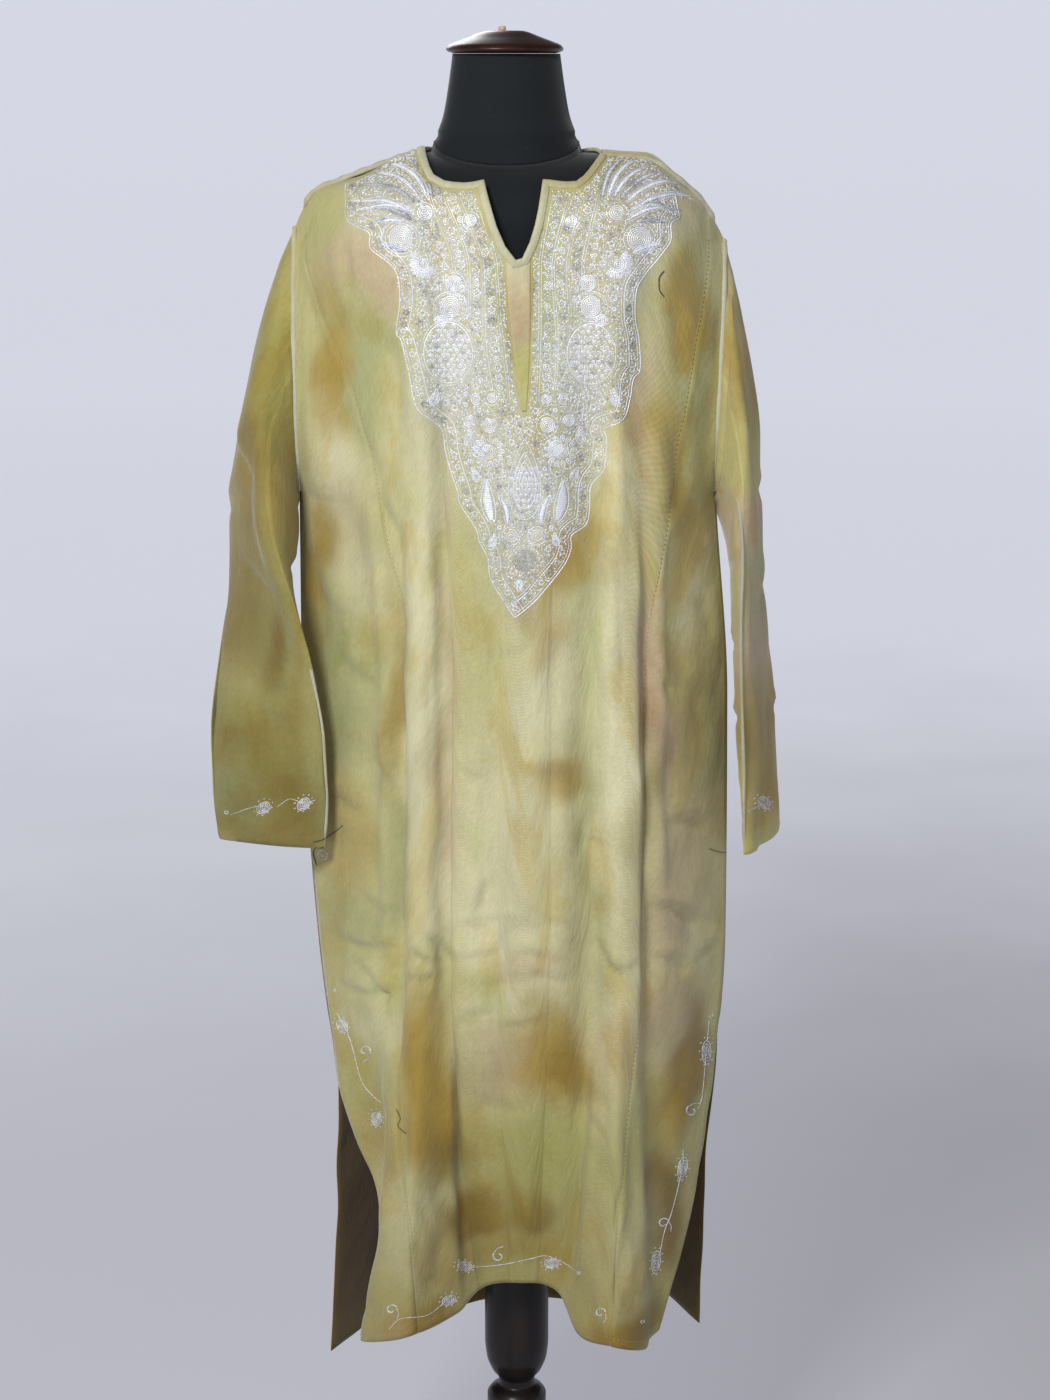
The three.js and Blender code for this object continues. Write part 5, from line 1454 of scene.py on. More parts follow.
def addNeck():
    around = 96
    angle = np.linspace(0, 2 * math.pi, around, endpoint=False)
    heights = [row[0] for row in neckRows]
    wide, deep = oneCurve(neckRows, 0, 1), oneCurve(neckRows, 0, 2)
    rings = []
    for z in np.linspace(heights[0], heights[-1], 26):
        rings.append(np.stack([
            form["neckX"] - wide(z) * np.cos(angle), -deep(z) * np.sin(angle), np.full(around, z),
        ], axis=-1))
    last = rings[-1]
    inFront, behind = neckSeam(angle, -1), neckSeam(2 * math.pi - angle, 1)
    seam = np.where((angle <= math.pi)[:, None], inFront, behind)
    for share in np.linspace(0, 1, 14)[1:]:
        # The neck flares into its seam, with a small roll just above it.
        away = (share - neckFlare["rollAt"]) / neckFlare["rollWide"]
        bulge = neckFlare["roll"] * math.exp(-(away ** 2))
        ring = lerp(last, seam, share)
        outwards = unit(ring * [1, 1, 0] - np.array([form["neckX"], 0, 0]))
        rings.append(ring + outwards * (neckFlare["hollow"] * math.sin(math.pi * share) + bulge))
    rings = np.stack(rings)
    piece = addTube("form_neck_jersey", rings, jerseyLook)
    keepEndsFlat(piece)
    ride(piece, "form_neck", "form_neck")


poleRows = [  # radius, height
    (46, 30.3), (46, 44), (34, 52), (24, 72), (22, 105), (25, 138), (30, 160), (31, 176),
    (31, 190), (27, 196), (19, 202), (19, 208), (26, 218), (31.5, 232), (33.5, 250), (33.5, 300),
    (31, 350), (26, 430), (21, 510), (21, 520), (29, 530), (29, 544), (20, 552), (20, 799.7),
]
baseRows = [(190, 0), (190, 9), (184, 16), (150, 20), (95, 24), (60, 30)]
capRows = [(49, 0), (55, 2), (56.3, 4), (54, 7.5), (46, 11), (35, 15), (22, 20), (17, 21.1)]
pegRows = [(3.3, 0), (3.6, 1.2), (3.5, 3.2), (2.7, 4.2)]
capRimZ = 1577.0


def addTurned(name, rows, look, x, lift, around, fine, rounded=0.35):
    # A turned profile, spun about its own upright axis; each corner is eased by the finer steps.
    radii = np.array([row[0] for row in rows], float)
    heights = np.array([row[1] for row in rows], float)
    length = np.concatenate([[0], np.cumsum(np.hypot(np.diff(radii), np.diff(heights)))])
    parts = [np.linspace(a, b, fine + 1) for a, b in zip(length[:-1], length[1:])]
    at = np.unique(np.concatenate(parts))
    straight = np.stack([np.interp(at, length, radii), np.interp(at, length, heights)], axis=1)
    curved = smoothCurve(length, [radii, heights])(at).T
    profile = lerp(straight, curved, 1 - rounded)
    angle = np.linspace(0, 2 * math.pi, around, endpoint=False)
    rings = np.stack([
        x + profile[:, 0, None] * np.cos(angle), profile[:, 0, None] * np.sin(angle),
        lift + profile[:, 1, None] * np.ones(around),
    ], axis=-1)
    piece = addTube(name, rings, look)
    keepEndsFlat(piece)
    return piece


def addStand():
    middleX = form["neckX"]
    for name, rows, look, x, lift, around, fine in (
        ("stand_base", baseRows, blackLacquer, 0.0, 0.0, 96, 5),
        ("pole", poleRows, blackLacquer, 0.0, 0.0, 72, 5),
        ("neck_cap", capRows, brownLacquer, middleX - 1.5, capRimZ, 96, 5),
        ("cap_peg", pegRows, pegLook, middleX - 4, capRimZ + capRows[-1][1] + 0.1, 24, 4),
    ):
        ride(addTurned(name + "_turned", rows, look, x, lift, around, fine), name, name)
    print("stand")


addTorso()
addNeck()
addStand()


def layThread(name, spots, normals, starts, widths, tones, look, rise=0.7, pulse=0.3, sink=0.15):
    # Each run of thread is a closed prism of three sides that swells and narrows by stitches.
    count = len(spots)
    order = np.arange(count)
    runStart = np.maximum.accumulate(np.where(starts, order, 0))
    isLast = np.append(starts[1:], True)
    before = np.where(starts, order, order - 1)
    after = np.where(isLast, order, np.minimum(order + 1, count - 1))
    side = unit(np.cross(normals, spots[after] - spots[before]))
    beat = (order - runStart) % 2
    swell = 1 - pulse + 2 * pulse * beat
    swell = np.where(starts | isLast, 0.45, swell)
    half = (0.5 * widths * swell)[:, None]
    height = (rise * (0.75 + 0.25 * swell))[:, None]
    rings = np.stack([
        spots - side * half - normals * sink, spots + side * half - normals * sink,
        spots + normals * height,
    ], axis=1)
    a = (order[~isLast][:, None] * 3 + np.arange(3)[None])
    b = (order[~isLast][:, None] * 3 + (np.arange(3)[None] + 1) % 3)
    quads = np.stack([a, b, b + 3, a + 3], axis=-1).reshape(-1, 4)
    first = order[starts][:, None] * 3 + np.array([[2, 1, 0]])
    last = order[isLast][:, None] * 3 + np.array([[0, 1, 2]])
    piece = makeMesh(name, rings, quads.tolist() + first.tolist() + last.tolist(), look)
    turnOutwards(piece)
    addLayer(piece, "tone", np.repeat(tones, 3)[:, None] * np.ones((1, 3)), "colour")
    ride(piece, "front_center")
    return piece


def joinRuns(lines):
    # Puts lines of points into one array, with a mark where each begins.
    starts = np.zeros(sum(len(line) for line in lines), bool)
    starts[np.cumsum([0] + [len(line) for line in lines[:-1]])] = True
    return np.concatenate(lines), starts


embroidery = {
    "step": 1.25, "pitch": 1.7, "line": 1.68, "fill": 1.6, "seed": 11, "edge": 8.5,
    "left": -180, "bottom": 1030, "wide": 360, "high": 520,
}
yokeOutlineLeft = [  # x, z, from the shoulder down to the point
    (-162.1, 1456.2), (-160.6, 1428.7), (-147.8, 1418.6), (-136.7, 1413.1), (-135, 1398.4),
    (-111.9, 1379.9), (-107.5, 1353.1), (-111.5, 1322.3), (-105.9, 1313.9), (-97.8, 1280.2),
    (-95.1, 1265.1), (-90.5, 1251), (-78.3, 1239.6), (-68.9, 1230.2), (-66.2, 1210.2),
    (-59.7, 1186.4), (-55, 1173), (-52.2, 1159.6), (-38, 1138.5), (-34.3, 1126), (-26.7, 1111.5),
    (-23.9, 1090.2), (-12.4, 1070.8), (-1, 1053.3),
]
yokeOutlineRight = [  # x, z, from the point up to the shoulder
    (-1, 1053.3), (17.2, 1067.9), (31.5, 1084.4), (47.7, 1103.8), (53.3, 1119.2), (53.3, 1130.8),
    (66.6, 1140.4), (70.3, 1154.8), (71.6, 1176.9), (82.4, 1194.1), (85, 1222.6), (83.1, 1232.1),
    (102.8, 1241.5), (109.2, 1258.5), (111.9, 1277.4), (118.4, 1286.8), (117.2, 1314.9),
    (112.3, 1337.3), (113, 1361.4), (120.3, 1373.5), (136.9, 1392.9), (147, 1406.7),
    (147.2, 1422.3), (157.8, 1429.6), (149.2, 1448.9),
]


def flatten(points):
    points = np.asarray(points, float)
    return np.stack([points[..., 0], tOf(points[..., 0], points[..., 1])], axis=-1)


def middleX(t):
    return np.interp(t, [1053, 1352], [-1.0, 4.7])


def turned(points, centre, turn=0.0):
    c, s = math.cos(turn), math.sin(turn)
    return np.asarray(centre) + np.asarray(points) @ np.array([[c, s], [-s, c]])


def polar(angle, wide, high):
    return np.stack([wide * np.cos(angle), high * np.sin(angle)], axis=1)


def oval(centre, wide, high, turn=0.0):
    angle = np.linspace(0, 2 * math.pi, max(int((wide + high) * 2.2), 10))
    return turned(polar(angle, wide, high), centre, turn)


def coil(centre, wide, high, turn=0.0, hollow=0.5, pitch=None):
    # A spiral that runs out from a small hollow to the rim, one pitch further with each turn.
    pitch = pitch or embroidery["pitch"]
    turns = max((min(wide, high) - hollow) / pitch, 0.6)
    angle = np.linspace(0, 2 * math.pi * turns, max(int(turns * (wide + high) * 1.6), 8))
    share = lerp(hollow / min(wide, high), 1, angle / angle[-1])
    return turned(polar(angle, wide * share, high * share), centre, turn)


def bloom(centre, radius, petals, turn=0.0, heart=0.35):
    # A flower in one line: its radius falls to the heart between each two petals.
    angle = np.linspace(0, 2 * math.pi, petals * 10 + 1)
    reach = radius * lerp(heart, 1, np.abs(np.cos(petals * angle / 2)))
    return turned(polar(angle, reach, reach), centre, turn)


def leaf(start, end, width, bow=0.15, ribs=True):
    # Two bowed edges, a midrib and, between them, ribs in one zigzag line.
    start, end = np.asarray(start, float), np.asarray(end, float)
    length = np.linalg.norm(end - start)
    ahead = (end - start) / length
    side = np.array([-ahead[1], ahead[0]])
    u = np.linspace(0, 1, max(int(length / 1.5), 6))
    bowed = bow * length * np.sin(math.pi * u)
    spine = start + ahead * (u * length)[:, None] + side * bowed[:, None]
    half = (0.5 * width * np.sin(math.pi * u ** 0.8) ** 0.8)[:, None]
    lines = [np.concatenate([spine + side * half, (spine - side * half)[::-1]])]
    if ribs and length > 10:
        count = int(length / 1.9)
        k = np.arange(2 * count + 1)
        v = lerp(0.08, 0.95, k / (2 * count))
        reach = np.interp(v, u, half[:, 0]) * 0.8 * np.where(k % 2 == 0, 1, -1)
        middle = np.stack([np.interp(v, u, spine[:, 0]), np.interp(v, u, spine[:, 1])], axis=1)
        lines.append(middle + side * reach[:, None])
    else:
        lines.append(spine[1:-1])
    return lines


def paisley(centre, size, turn=0.0, hook=0.5, rings=(1.0, 0.7, 0.42)):
    # A teardrop whose tip hooks to one side, drawn over in smaller and smaller ones.
    angle = np.linspace(0, 2 * math.pi, 44)
    x = -np.cos(angle)
    y = np.sin(angle) * np.sin(angle / 2) ** 1.2 * 0.75
    bend = hook * np.clip(0.2 - x, 0, None) ** 2 * 0.55
    drop = np.stack([y + bend, -x], axis=1)
    low = np.array([[0.0, -0.3]])
    return [turned((drop - low) * ring * size + low * size, centre, turn) for ring in rings]


class Stitchwork:
    # Collects lines of stitches on the flat front and keeps a map of the places already worked.
    def __init__(self):
        self.lines, self.widths, self.tones = [], [], []
        self.taken = np.zeros((embroidery["high"], embroidery["wide"]), bool)
        self.random = np.random.default_rng(embroidery["seed"])

    def work(self, line, width=None, tone=0.8):
        line = evenly(np.asarray(line, float), embroidery["step"])
        self.lines.append(line)
        self.widths.append(width or embroidery["line"])
        self.tones.append(tone + self.random.uniform(-0.12, 0.12))
        column = np.clip((line[:, 0] - embroidery["left"]).astype(int), 1, embroidery["wide"] - 2)
        row = np.clip((line[:, 1] - embroidery["bottom"]).astype(int), 1, embroidery["high"] - 2)
        for across, up in ((0, 0), (1, 0), (-1, 0), (0, 1), (0, -1)):
            self.taken[row + up, column + across] = True

    def workAll(self, lines, width=None, tone=0.8):
        for line in lines:
            self.work(line, width, tone)

    def beads(self, centre, wide, high, count, size):
        # A ring of small coils.
        for turn in np.linspace(0, 2 * math.pi, count, endpoint=False):
            spot = centre + np.array([wide * math.cos(turn), high * math.sin(turn)])
            self.work(coil(spot, size, size), 1.4, 0.85)

    def isFree(self, x, t, radius):
        column, row = int(x - embroidery["left"]), int(t - embroidery["bottom"])
        reach = max(int(radius), 1)
        rows = slice(max(row - reach, 0), row + reach + 1)
        spot = self.taken[rows, max(column - reach, 0):column + reach + 1]
        return spot.size > 0 and not spot.any()


def inPolygon(points, corners):
    # Even-odd rule for all points at once.
    x, y = points[:, 0, None], points[:, 1, None]
    ax, ay = corners[None, :, 0], corners[None, :, 1]
    bx, by = np.roll(ax, -1, axis=1), np.roll(ay, -1, axis=1)
    rise = np.where(by == ay, 1e-9, by - ay)
    crosses = ((ay > y) != (by > y)) & (x < (bx - ax) * (y - ay) / rise + ax)
    return crosses.sum(axis=1) % 2 == 1


def distanceTo(points, line):
    a, b = line[None, :-1], line[None, 1:]
    along = b - a
    squared = np.maximum(np.sum(along * along, axis=-1), 1e-9)
    share = np.sum((points[:, None] - a) * along, axis=-1) / squared
    nearest = a + np.clip(share, 0, 1)[..., None] * along
    return np.linalg.norm(points[:, None] - nearest, axis=-1).min(axis=1)


neckLine = flatten(neckline)


def mayStitch(points, margin=0.0):
    # Clear of the neck and its binding, the placket strip and the shoulder seam.
    x, t = points[:, 0], points[:, 1]
    neckT = np.interp(x, neckLine[:, 0], neckLine[:, 1], left=1e4, right=1e4)
    clear = (t < neckT) & (distanceTo(points, neckLine) > embroidery["edge"] + margin)
    placketLeft = np.interp(-t, [-row[0] for row in placketRows], [row[1] for row in placketRows])
    placketRight = np.interp(-t, [-row[0] for row in placketRows], [row[2] for row in placketRows])
    margin = margin + 2
    onPlacket = (t > 1246) & (t < 1392) & (x > placketLeft - margin) & (x < placketRight + margin)
    seamT = ridge(x) - front.roll + front.bend - seamDrop(x) - 2.5
    return clear & ~onPlacket & (t < seamT)


def workYoke():
    yoke = Stitchwork()
    random = yoke.random
    left, right = flatten(yokeOutlineLeft), flatten(yokeOutlineRight)
    shoulderLeft = [(-162, 1458), (-150, 1475), (-120, 1500), (-92, 1530), (-80, 1540)]
    shoulderRight = [(160, 1450), (150, 1465), (125, 1495), (95, 1530), (80, 1540)]
    region = np.concatenate([left, right, np.array(shoulderRight), np.array(shoulderLeft)[::-1]])
    smoothLeft, smoothRight = splineThrough(left, 1.5), splineThrough(right, 1.5)

    # The border: two lines at the edge and two further in, with a row of tiny flowers between.
    for line, side in ((smoothLeft, -1), (smoothRight, 1)):
        yoke.work(line, 1.5, 0.92)
        yoke.work(offsetLine(line, -2.5), 0.9, 0.7)
        yoke.work(offsetLine(line, -11.5), 1.3, 0.9)
        yoke.work(offsetLine(line, -14.0), 0.9, 0.65)
        middle = evenly(offsetLine(line, -7.0), 5.9)
        for number, spot in enumerate(middle[1:-1]):
            dull = 0.35 if random.random() < 0.3 else 0.85
            if number % 2 == 0:
                yoke.work(bloom(spot, 3.1, 5, random.uniform(0, 6)), 1.4, dull)
            else:
                yoke.work(coil(spot, 1.3, 1.3), 1.0, dull * 0.9)

    def both(x, z):
        # The same place on each side of the middle line, and which side it is.
        for side in (-1, 1):
            placeX = x if side < 0 else 2 * (4.7 if z > 1352 else middleX(z)) - x
            yield flatten([(placeX, z)])[0] + random.uniform(-0.8, 0.8, 2), side

    # Medallions, rounds and fans on the breast.
    for x, z, wide, high, loops in (
        (-105.8, 1408.7, 12.5, 11.5, (15.0, 18.0)), (-84.3, 1432.7, 7.5, 7, (9.5,)),
        (-58, 1368, 8, 8, (10.5,)), (-61.6, 1346, 11, 10, (13.6, 15.6)), (-42, 1426, 6, 6, (8.2,)),
        (-70, 1333, 6, 6, ()), (-24, 1237, 7.5, 7.5, (10.0,)), (-34, 1216, 8.5, 7, (11.0,)),
        (-44, 1240, 6, 6, (8.4,)), (-38, 1262, 6, 5, ()), (-22, 1262, 5, 5, (7.2,)),
    ):
        for centre, side in both(x, z):
            turn = random.uniform(0, 3)
            yoke.work(coil(centre, wide, high, turn), embroidery["fill"], 0.95)
            for loop in loops:
                yoke.work(oval(centre, loop, loop * high / wide), 1.2, 0.7)
    for centre, side in both(-85, 1386):
        for turn in np.linspace(-2.4, 0.9, 11):
            tip = centre + 15 * np.array([math.cos(turn) * side, math.sin(turn)])
            yoke.workAll(leaf(centre + (tip - centre) * 0.3, tip, 3.2, 0.05, False), 1.4, 0.95)
        yoke.work(coil(centre, 4.5, 4.5), embroidery["fill"], 0.95)

    # The two big filled paisleys: rows of little coils, close together like scales.
    for centre, side in both(-63.5, 1303):
        wide, high = 20.5, 26.0
        yoke.work(oval(centre, wide + 2.4, high + 2.4), 1.3, 0.9)
        yoke.work(oval(centre, wide + 4.8, high + 4.8), 0.9, 0.7)
        for row, up in enumerate(np.arange(-high, high + 1, 4.6)):
            for across in np.arange(-wide - 3, wide + 4, 5.2):
                x = across + (2.6 if row % 2 else 0)
                if (x / wide) ** 2 + (up / high) ** 2 < 0.98:
                    tone = 0.95 if random.random() < 0.8 else 0.6
                    scale = coil(centre + [x, up], 2.6, 2.4, random.uniform(0, 6), 0.3, 1.2)
                    yoke.work(scale, 1.35, tone)
        yoke.beads(centre, wide + 8, high + 8, 22, 1.9)

    # Feathered leaves that spray out over the shoulders.
    for base, tip, width in (
        ((-92, 1424), (-133, 1437), 6), ((-94, 1430), (-158, 1444), 6.5),
        ((-94, 1434), (-150, 1434), 5.5), ((-90, 1438), (-146, 1456), 6.5),
        ((-86, 1442), (-131, 1466), 6.5), ((-80, 1444), (-118, 1473), 6.5),
        ((-76, 1444), (-104, 1478), 6.5), ((-70, 1444), (-94, 1480), 6),
        ((-100, 1396), (-130, 1402), 6), ((-104, 1424), (-130, 1422), 5),
    ):
        for (start, side), (end, _) in zip(both(*base), both(*tip)):
            tone = random.choice([0.9, 0.5, 0.75])
            yoke.workAll(leaf(start, end, width, 0.08 * side), 1.4, tone)
            for k, share in enumerate(np.linspace(0.25, 0.95, 7)):
                ahead = unit(end - start)
                across = np.array([-ahead[1], ahead[0]]) * (1 if k % 2 else -1)
                at = lerp(start, end, share)
                yoke.work([at + across * 2.6, at + across * 6.0 + ahead * 3.2], 1.4, tone)

    # Columns of small flowers between double lines, beside the slit and the placket.
    wallT = np.array([1476.0, 1461, 1444, 1420, 1402, 1389, 1333, 1284, 1262])
    for side, wallX in (
        (-1, np.array([-38.0, -30, -25.5, -18, -12, -9, -5, 1, 3])),
        (1, np.array([34.0, 26, 23.5, 19, 16, 14, 14, 12.5, 11.5])),
    ):
        def column(distance, high, low):
            t = np.arange(high, low, -1.5)
            bulge = 2.2 * np.sin((t - 1260) / 26)
            out = side * (distance + bulge * (distance > 20))
            return np.stack([np.interp(-t, -wallT, wallX) + out, t], axis=1)

        for distance, high, low, width in (
            (8, 1452, 1258, 1.3), (10.3, 1452, 1258, 0.9), (22.5, 1450, 1268, 1.2),
            (24.8, 1450, 1268, 0.9), (36, 1450, 1335, 1.2), (38.3, 1450, 1335, 0.9),
            (50, 1452, 1352, 1.3), (52.5, 1452, 1352, 0.9),
        ):
            yoke.work(column(distance, high, low), width, 0.78)
        for distance, high, low, step, radius in (
            (16.5, 1449, 1262, 9.2, 4.2), (30.4, 1447, 1338, 10.4, 4.4),
            (44.3, 1446, 1352, 11.0, 4.4), (59.5, 1440, 1372, 10.0, 3.6),
        ):
            for number, spot in enumerate(evenly(column(distance, high, low), step)):
                tone = random.choice([0.95, 0.9, 0.85, 0.5])
                if number % 3 == 2:
                    yoke.work(coil(spot, radius * 0.85, radius * 0.85), 1.4, tone)
                else:
                    yoke.work(bloom(spot, radius, 5, random.uniform(0, 6), 0.25), 1.4, tone)
                yoke.work(coil(spot, 1.2, 1.2), 1.4, 0.95)

    # The lower point: a flame between two rosettes, a ribbed leaf, spirals and a grey medallion.
    middle = np.array([8.5, 1186.0])
    rings = [(1.0, 0.9), (0.86, 0.75), (0.70, 0.95), (0.52, 0.95), (0.34, 0.95), (0.18, 0.95)]
    for ring, tone in rings:
        angle = np.linspace(0, 2 * math.pi, 60)
        x = 19 * ring * np.sin(angle) * np.sin(angle / 2) ** 0.8
        y = 39 * ring * np.cos(angle) * 0.98
        yoke.work(np.stack([x, y], axis=1) + middle - [0, 3 * (1 - ring)], 1.25, tone)
    for up in np.arange(-26, 12, 5.2):
        for across in np.arange(-12, 13, 5.6):
            x = across + (2.8 if int(up) % 2 else 0)
            if (x / 15) ** 2 + ((up + 6) / 24) ** 2 < 1:
                scale = coil(middle + [x, up], 2.6, 2.4, random.uniform(0, 6), 0.3, 1.25)
                yoke.work(scale, 1.35, 0.9)
    for side in (-1, 1):
        rosette = np.array([8.5 + side * 34, 1212.0])
        for turn in np.linspace(0, 2 * math.pi, 13, endpoint=False):
            tip = rosette + 16 * np.array([math.cos(turn), math.sin(turn)])
            yoke.workAll(leaf(lerp(rosette, tip, 0.55), tip, 3.8, 0.08, False), 1.4, 0.9)
        yoke.work(coil(rosette, 7.5, 7.5), 1.2, 0.95)
        for root, tip, wide, bow, thick, tone in (
            ((30, 1144), (36, 1186), 13, -0.05, 1.25, 0.98),
            ((16, 1142), (25, 1172), 7, 0.1, 1.4, 0.8),
        ):
            ends = [(8.5 + side * out, t) for out, t in (root, tip)]
            yoke.workAll(leaf(*ends, wide, bow * side), thick, tone)
        spiral = np.array([8.0 + side * 12.3, 1132.0])
        yoke.work(coil(spiral, 6.5, 6.5, side, 0.8, 2.3), 1.3, 0.9)
        yoke.work(oval(spiral, 8.8, 8.8), 1.4, 0.7)
        for out, t, size, turn, tone in (
            (29, 1128, 6.5, 0.5, 0.85), (52, 1226, 8.5, 0.3, 0.85), (47, 1190, 7.0, -0.2, 0.85),
            (84, 1262, 8.0, 0.5, 0.9),
        ):
            drops = paisley((8.5 + side * out, t), size, side * turn, side * 0.6)
            yoke.workAll(drops, 1.4, tone)
    grey = np.array([8.6, 1109.0])
    yoke.work(coil(grey, 11.5, 10.5), 1.2, 0.45)
    yoke.beads(grey, 14.4, 13.4, 15, 1.8)
    yoke.workAll(paisley((3.5, 1084), 6, math.pi, 0.3), 1.4, 0.9)

    def seedGrid(spacing, jitter, reach, margin):
        # Places on a shaken grid that lie in the yoke and may be stitched.
        x, t = np.meshgrid(np.arange(-170, 166, spacing), np.arange(1050, 1536, spacing))
        seeds = np.stack([x.ravel(), t.ravel()], axis=1)
        seeds = seeds + random.uniform(-jitter, jitter, seeds.shape) * reach
        return seeds[inPolygon(seeds, region) & mayStitch(seeds, margin)]

    # What is left over is filled with tiny flowers, rings and knots, the largest that fit.
    sizes = [(4.2, 3.0, "flower"), (3.0, 2.2, "flower"), (2.0, 1.7, "ring"), (1.0, 1.5, "knot")]
    for radius, spacing, kind in sizes:
        for spot in seedGrid(spacing, 0.4, spacing, radius * 0.7):
            if not yoke.isFree(spot[0], spot[1], radius):
                continue
            tone = random.choice([0.95, 0.85, 0.9, 0.45])
            if kind == "flower":
                yoke.work(bloom(spot, radius * 0.85, 5, random.uniform(0, 6), 0.2), 1.3, tone)
            elif kind == "ring":
                yoke.work(coil(spot, 1.9, 1.9, random.uniform(0, 6), 0.6), 1.3, tone)
            else:
                yoke.work(coil(spot, 0.9, 0.9, random.uniform(0, 6), 0.3), 1.0, tone)

    # Short seed stitches in every gap that is still open.
    for spot in seedGrid(1.7, 0.5, 1.0, 0.6):
        row, column = int(spot[1] - embroidery["bottom"]), int(spot[0] - embroidery["left"])
        if random.random() < 0.96 and not yoke.taken[row, column]:
            turn = random.uniform(0, math.pi)
            ahead = np.array([math.cos(turn), math.sin(turn)]) * random.uniform(1.0, 1.9)
            stitch = [spot - ahead, spot + [ahead[1] * 0.3, -ahead[0] * 0.3], spot + ahead]
            yoke.work(stitch, 1.5, random.choice([0.95, 0.8, 0.5]))
    return yoke


def addYoke():
    yoke = workYoke()
    points, starts = joinRuns(yoke.lines)
    counts = [len(line) for line in yoke.lines]
    widths, tones = np.repeat(yoke.widths, counts), np.repeat(yoke.tones, counts)
    keep = mayStitch(points)
    runs = np.cumsum(starts | ~np.concatenate([[True], keep[:-1]]))
    lengths = np.bincount(runs, weights=keep)
    keep &= lengths[runs] >= 3
    starts = starts | ~np.concatenate([[False], keep[:-1]])
    points, starts, widths, tones = points[keep], starts[keep], widths[keep], tones[keep]
    tones = tones + np.random.default_rng(5).normal(0, 0.14, len(tones))
    spots, normals = onFront(points[:, 0], points[:, 1])
    runs = np.cumsum(starts)
    home = np.zeros(runs[-1] + 1)
    np.maximum.at(home, runs, points[:, 0])
    for name, part in (("tilla_yoke_left", home[runs] < 5), ("tilla_yoke_right", home[runs] >= 5)):
        chosen = (values[part] for values in (spots, normals, starts, widths, tones))
        piece = layThread(name, *chosen, tillaLook)
        print(name, len(piece.data.polygons))


addYoke()


def worldMesh(names):
    # The vertices and faces of some pieces, as one list each, in millimetres.
    vertices, faces = [], []
    for name in names:
        mesh = bpy.data.objects[name].data
        start = len(vertices)
        vertices += [tuple(v.co / mm) for v in mesh.vertices]
        faces += [[start + k for k in face.vertices] for face in mesh.polygons]
    return vertices, faces


clothNames = [
    "front_center_cloth", "front_gore_left_cloth", "front_gore_right_cloth", "sleeve_left_cloth",
    "sleeve_right_cloth", "back_center_cloth", "back_gore_left_cloth", "back_gore_right_cloth",
]
eye = np.array([view["x"], view["y"], view["z"]])
lookPlane = -100.0


def layOn(tree, line):
    # Follows the sight line through each place (x, z) of an upright plane onto the cloth.
    spots, normals = [], []
    for x, z in line:
        ahead = unit(np.array([x, lookPlane, z]) - eye)
        spot, normal, _, _ = tree.ray_cast(Vector(eye), Vector(ahead))
        if spot is None:
            break
        spots.append(spot)
        normals.append(normal if normal.dot(Vector(ahead)) < 0 else -normal)
    return np.array(spots), np.array(normals)


def layAll(tree, lines, widths):
    # All lines that reach the cloth, as one run of points with their widths.
    laid = [(*layOn(tree, line), width) for line, width in zip(lines, widths)]
    laid = [row for row in laid if len(row[0]) > 3]
    spots, starts = joinRuns([spot for spot, _, _ in laid])
    normals = np.concatenate([normal for _, normal, _ in laid])
    widths = np.concatenate([np.full(len(spot), width) for spot, _, width in laid])
    return spots, normals, starts, widths


smallMotifs = [  # x, z on the plane, kind, turn
    (-126.5, 327.5, "curl", 0.4), (-68.1, 340.3, "bud", -1.1), (-52.7, 376.7, "bud", 1.4),
    (-17.2, 389.4, "curl", 2.6), (35.5, 379.6, "bud", 1.7), (62.9, 369.8, "dot", 0.0),
    (85.5, 323.8, "curl", 0.2), (128.1, 316.5, "dot", 0.0), (190.0, 606.7, "long", 0.0),
    (177.2, 545.1, "curl", 2.2), (167.7, 483.3, "long", -0.15), (149.6, 421.9, "curl", 0.6),
    (141.9, 382.1, "long", -0.1), (193.4, 644.1, "dot", 0.0), (-173.3, 633.7, "bud", 0.5),
    (-151.5, 605.3, "curl", -0.3), (-140.3, 535.6, "bud", 0.2), (-246.5, 858.4, "bud", -0.9),
    (-207.3, 862.2, "bud", -0.8), (-283.4, 853.8, "dot", 0.0), (242.2, 862.9, "bud", 0.9),
    (-189.7, 810.2, "ring", 0.0), (-181.4, 671.2, "dot", 0.0),
]
vines = [
    [(-130.5, 307.4), (-118.2, 319.4), (-92.7, 322.7), (-77.3, 333.7), (-68.1, 343.6)],
    [(-52.7, 375.2), (-16.2, 378.5), (14.2, 385), (29.4, 388.3), (46.6, 381.8), (62.9, 369.8)],
    [(-177.8, 647.3), (-165.2, 619), (-154.8, 576.9), (-143, 560), (-135.1, 552.6)],
    [(191.8, 640), (189.3, 607.5), (185.1, 555.7), (176.3, 538.8)],
    [(167.7, 502.5), (167, 483.3), (157.5, 438.1), (149.7, 414.3), (144, 381.8)],
    [(-279.5, 850.8), (-259.9, 857.9), (-247.1, 859.9)],
    [(-233.5, 858.9), (-220.6, 867), (-208, 862.9), (-195.3, 866)],
    [(226.7, 853.8), (242.2, 862.9)],
]


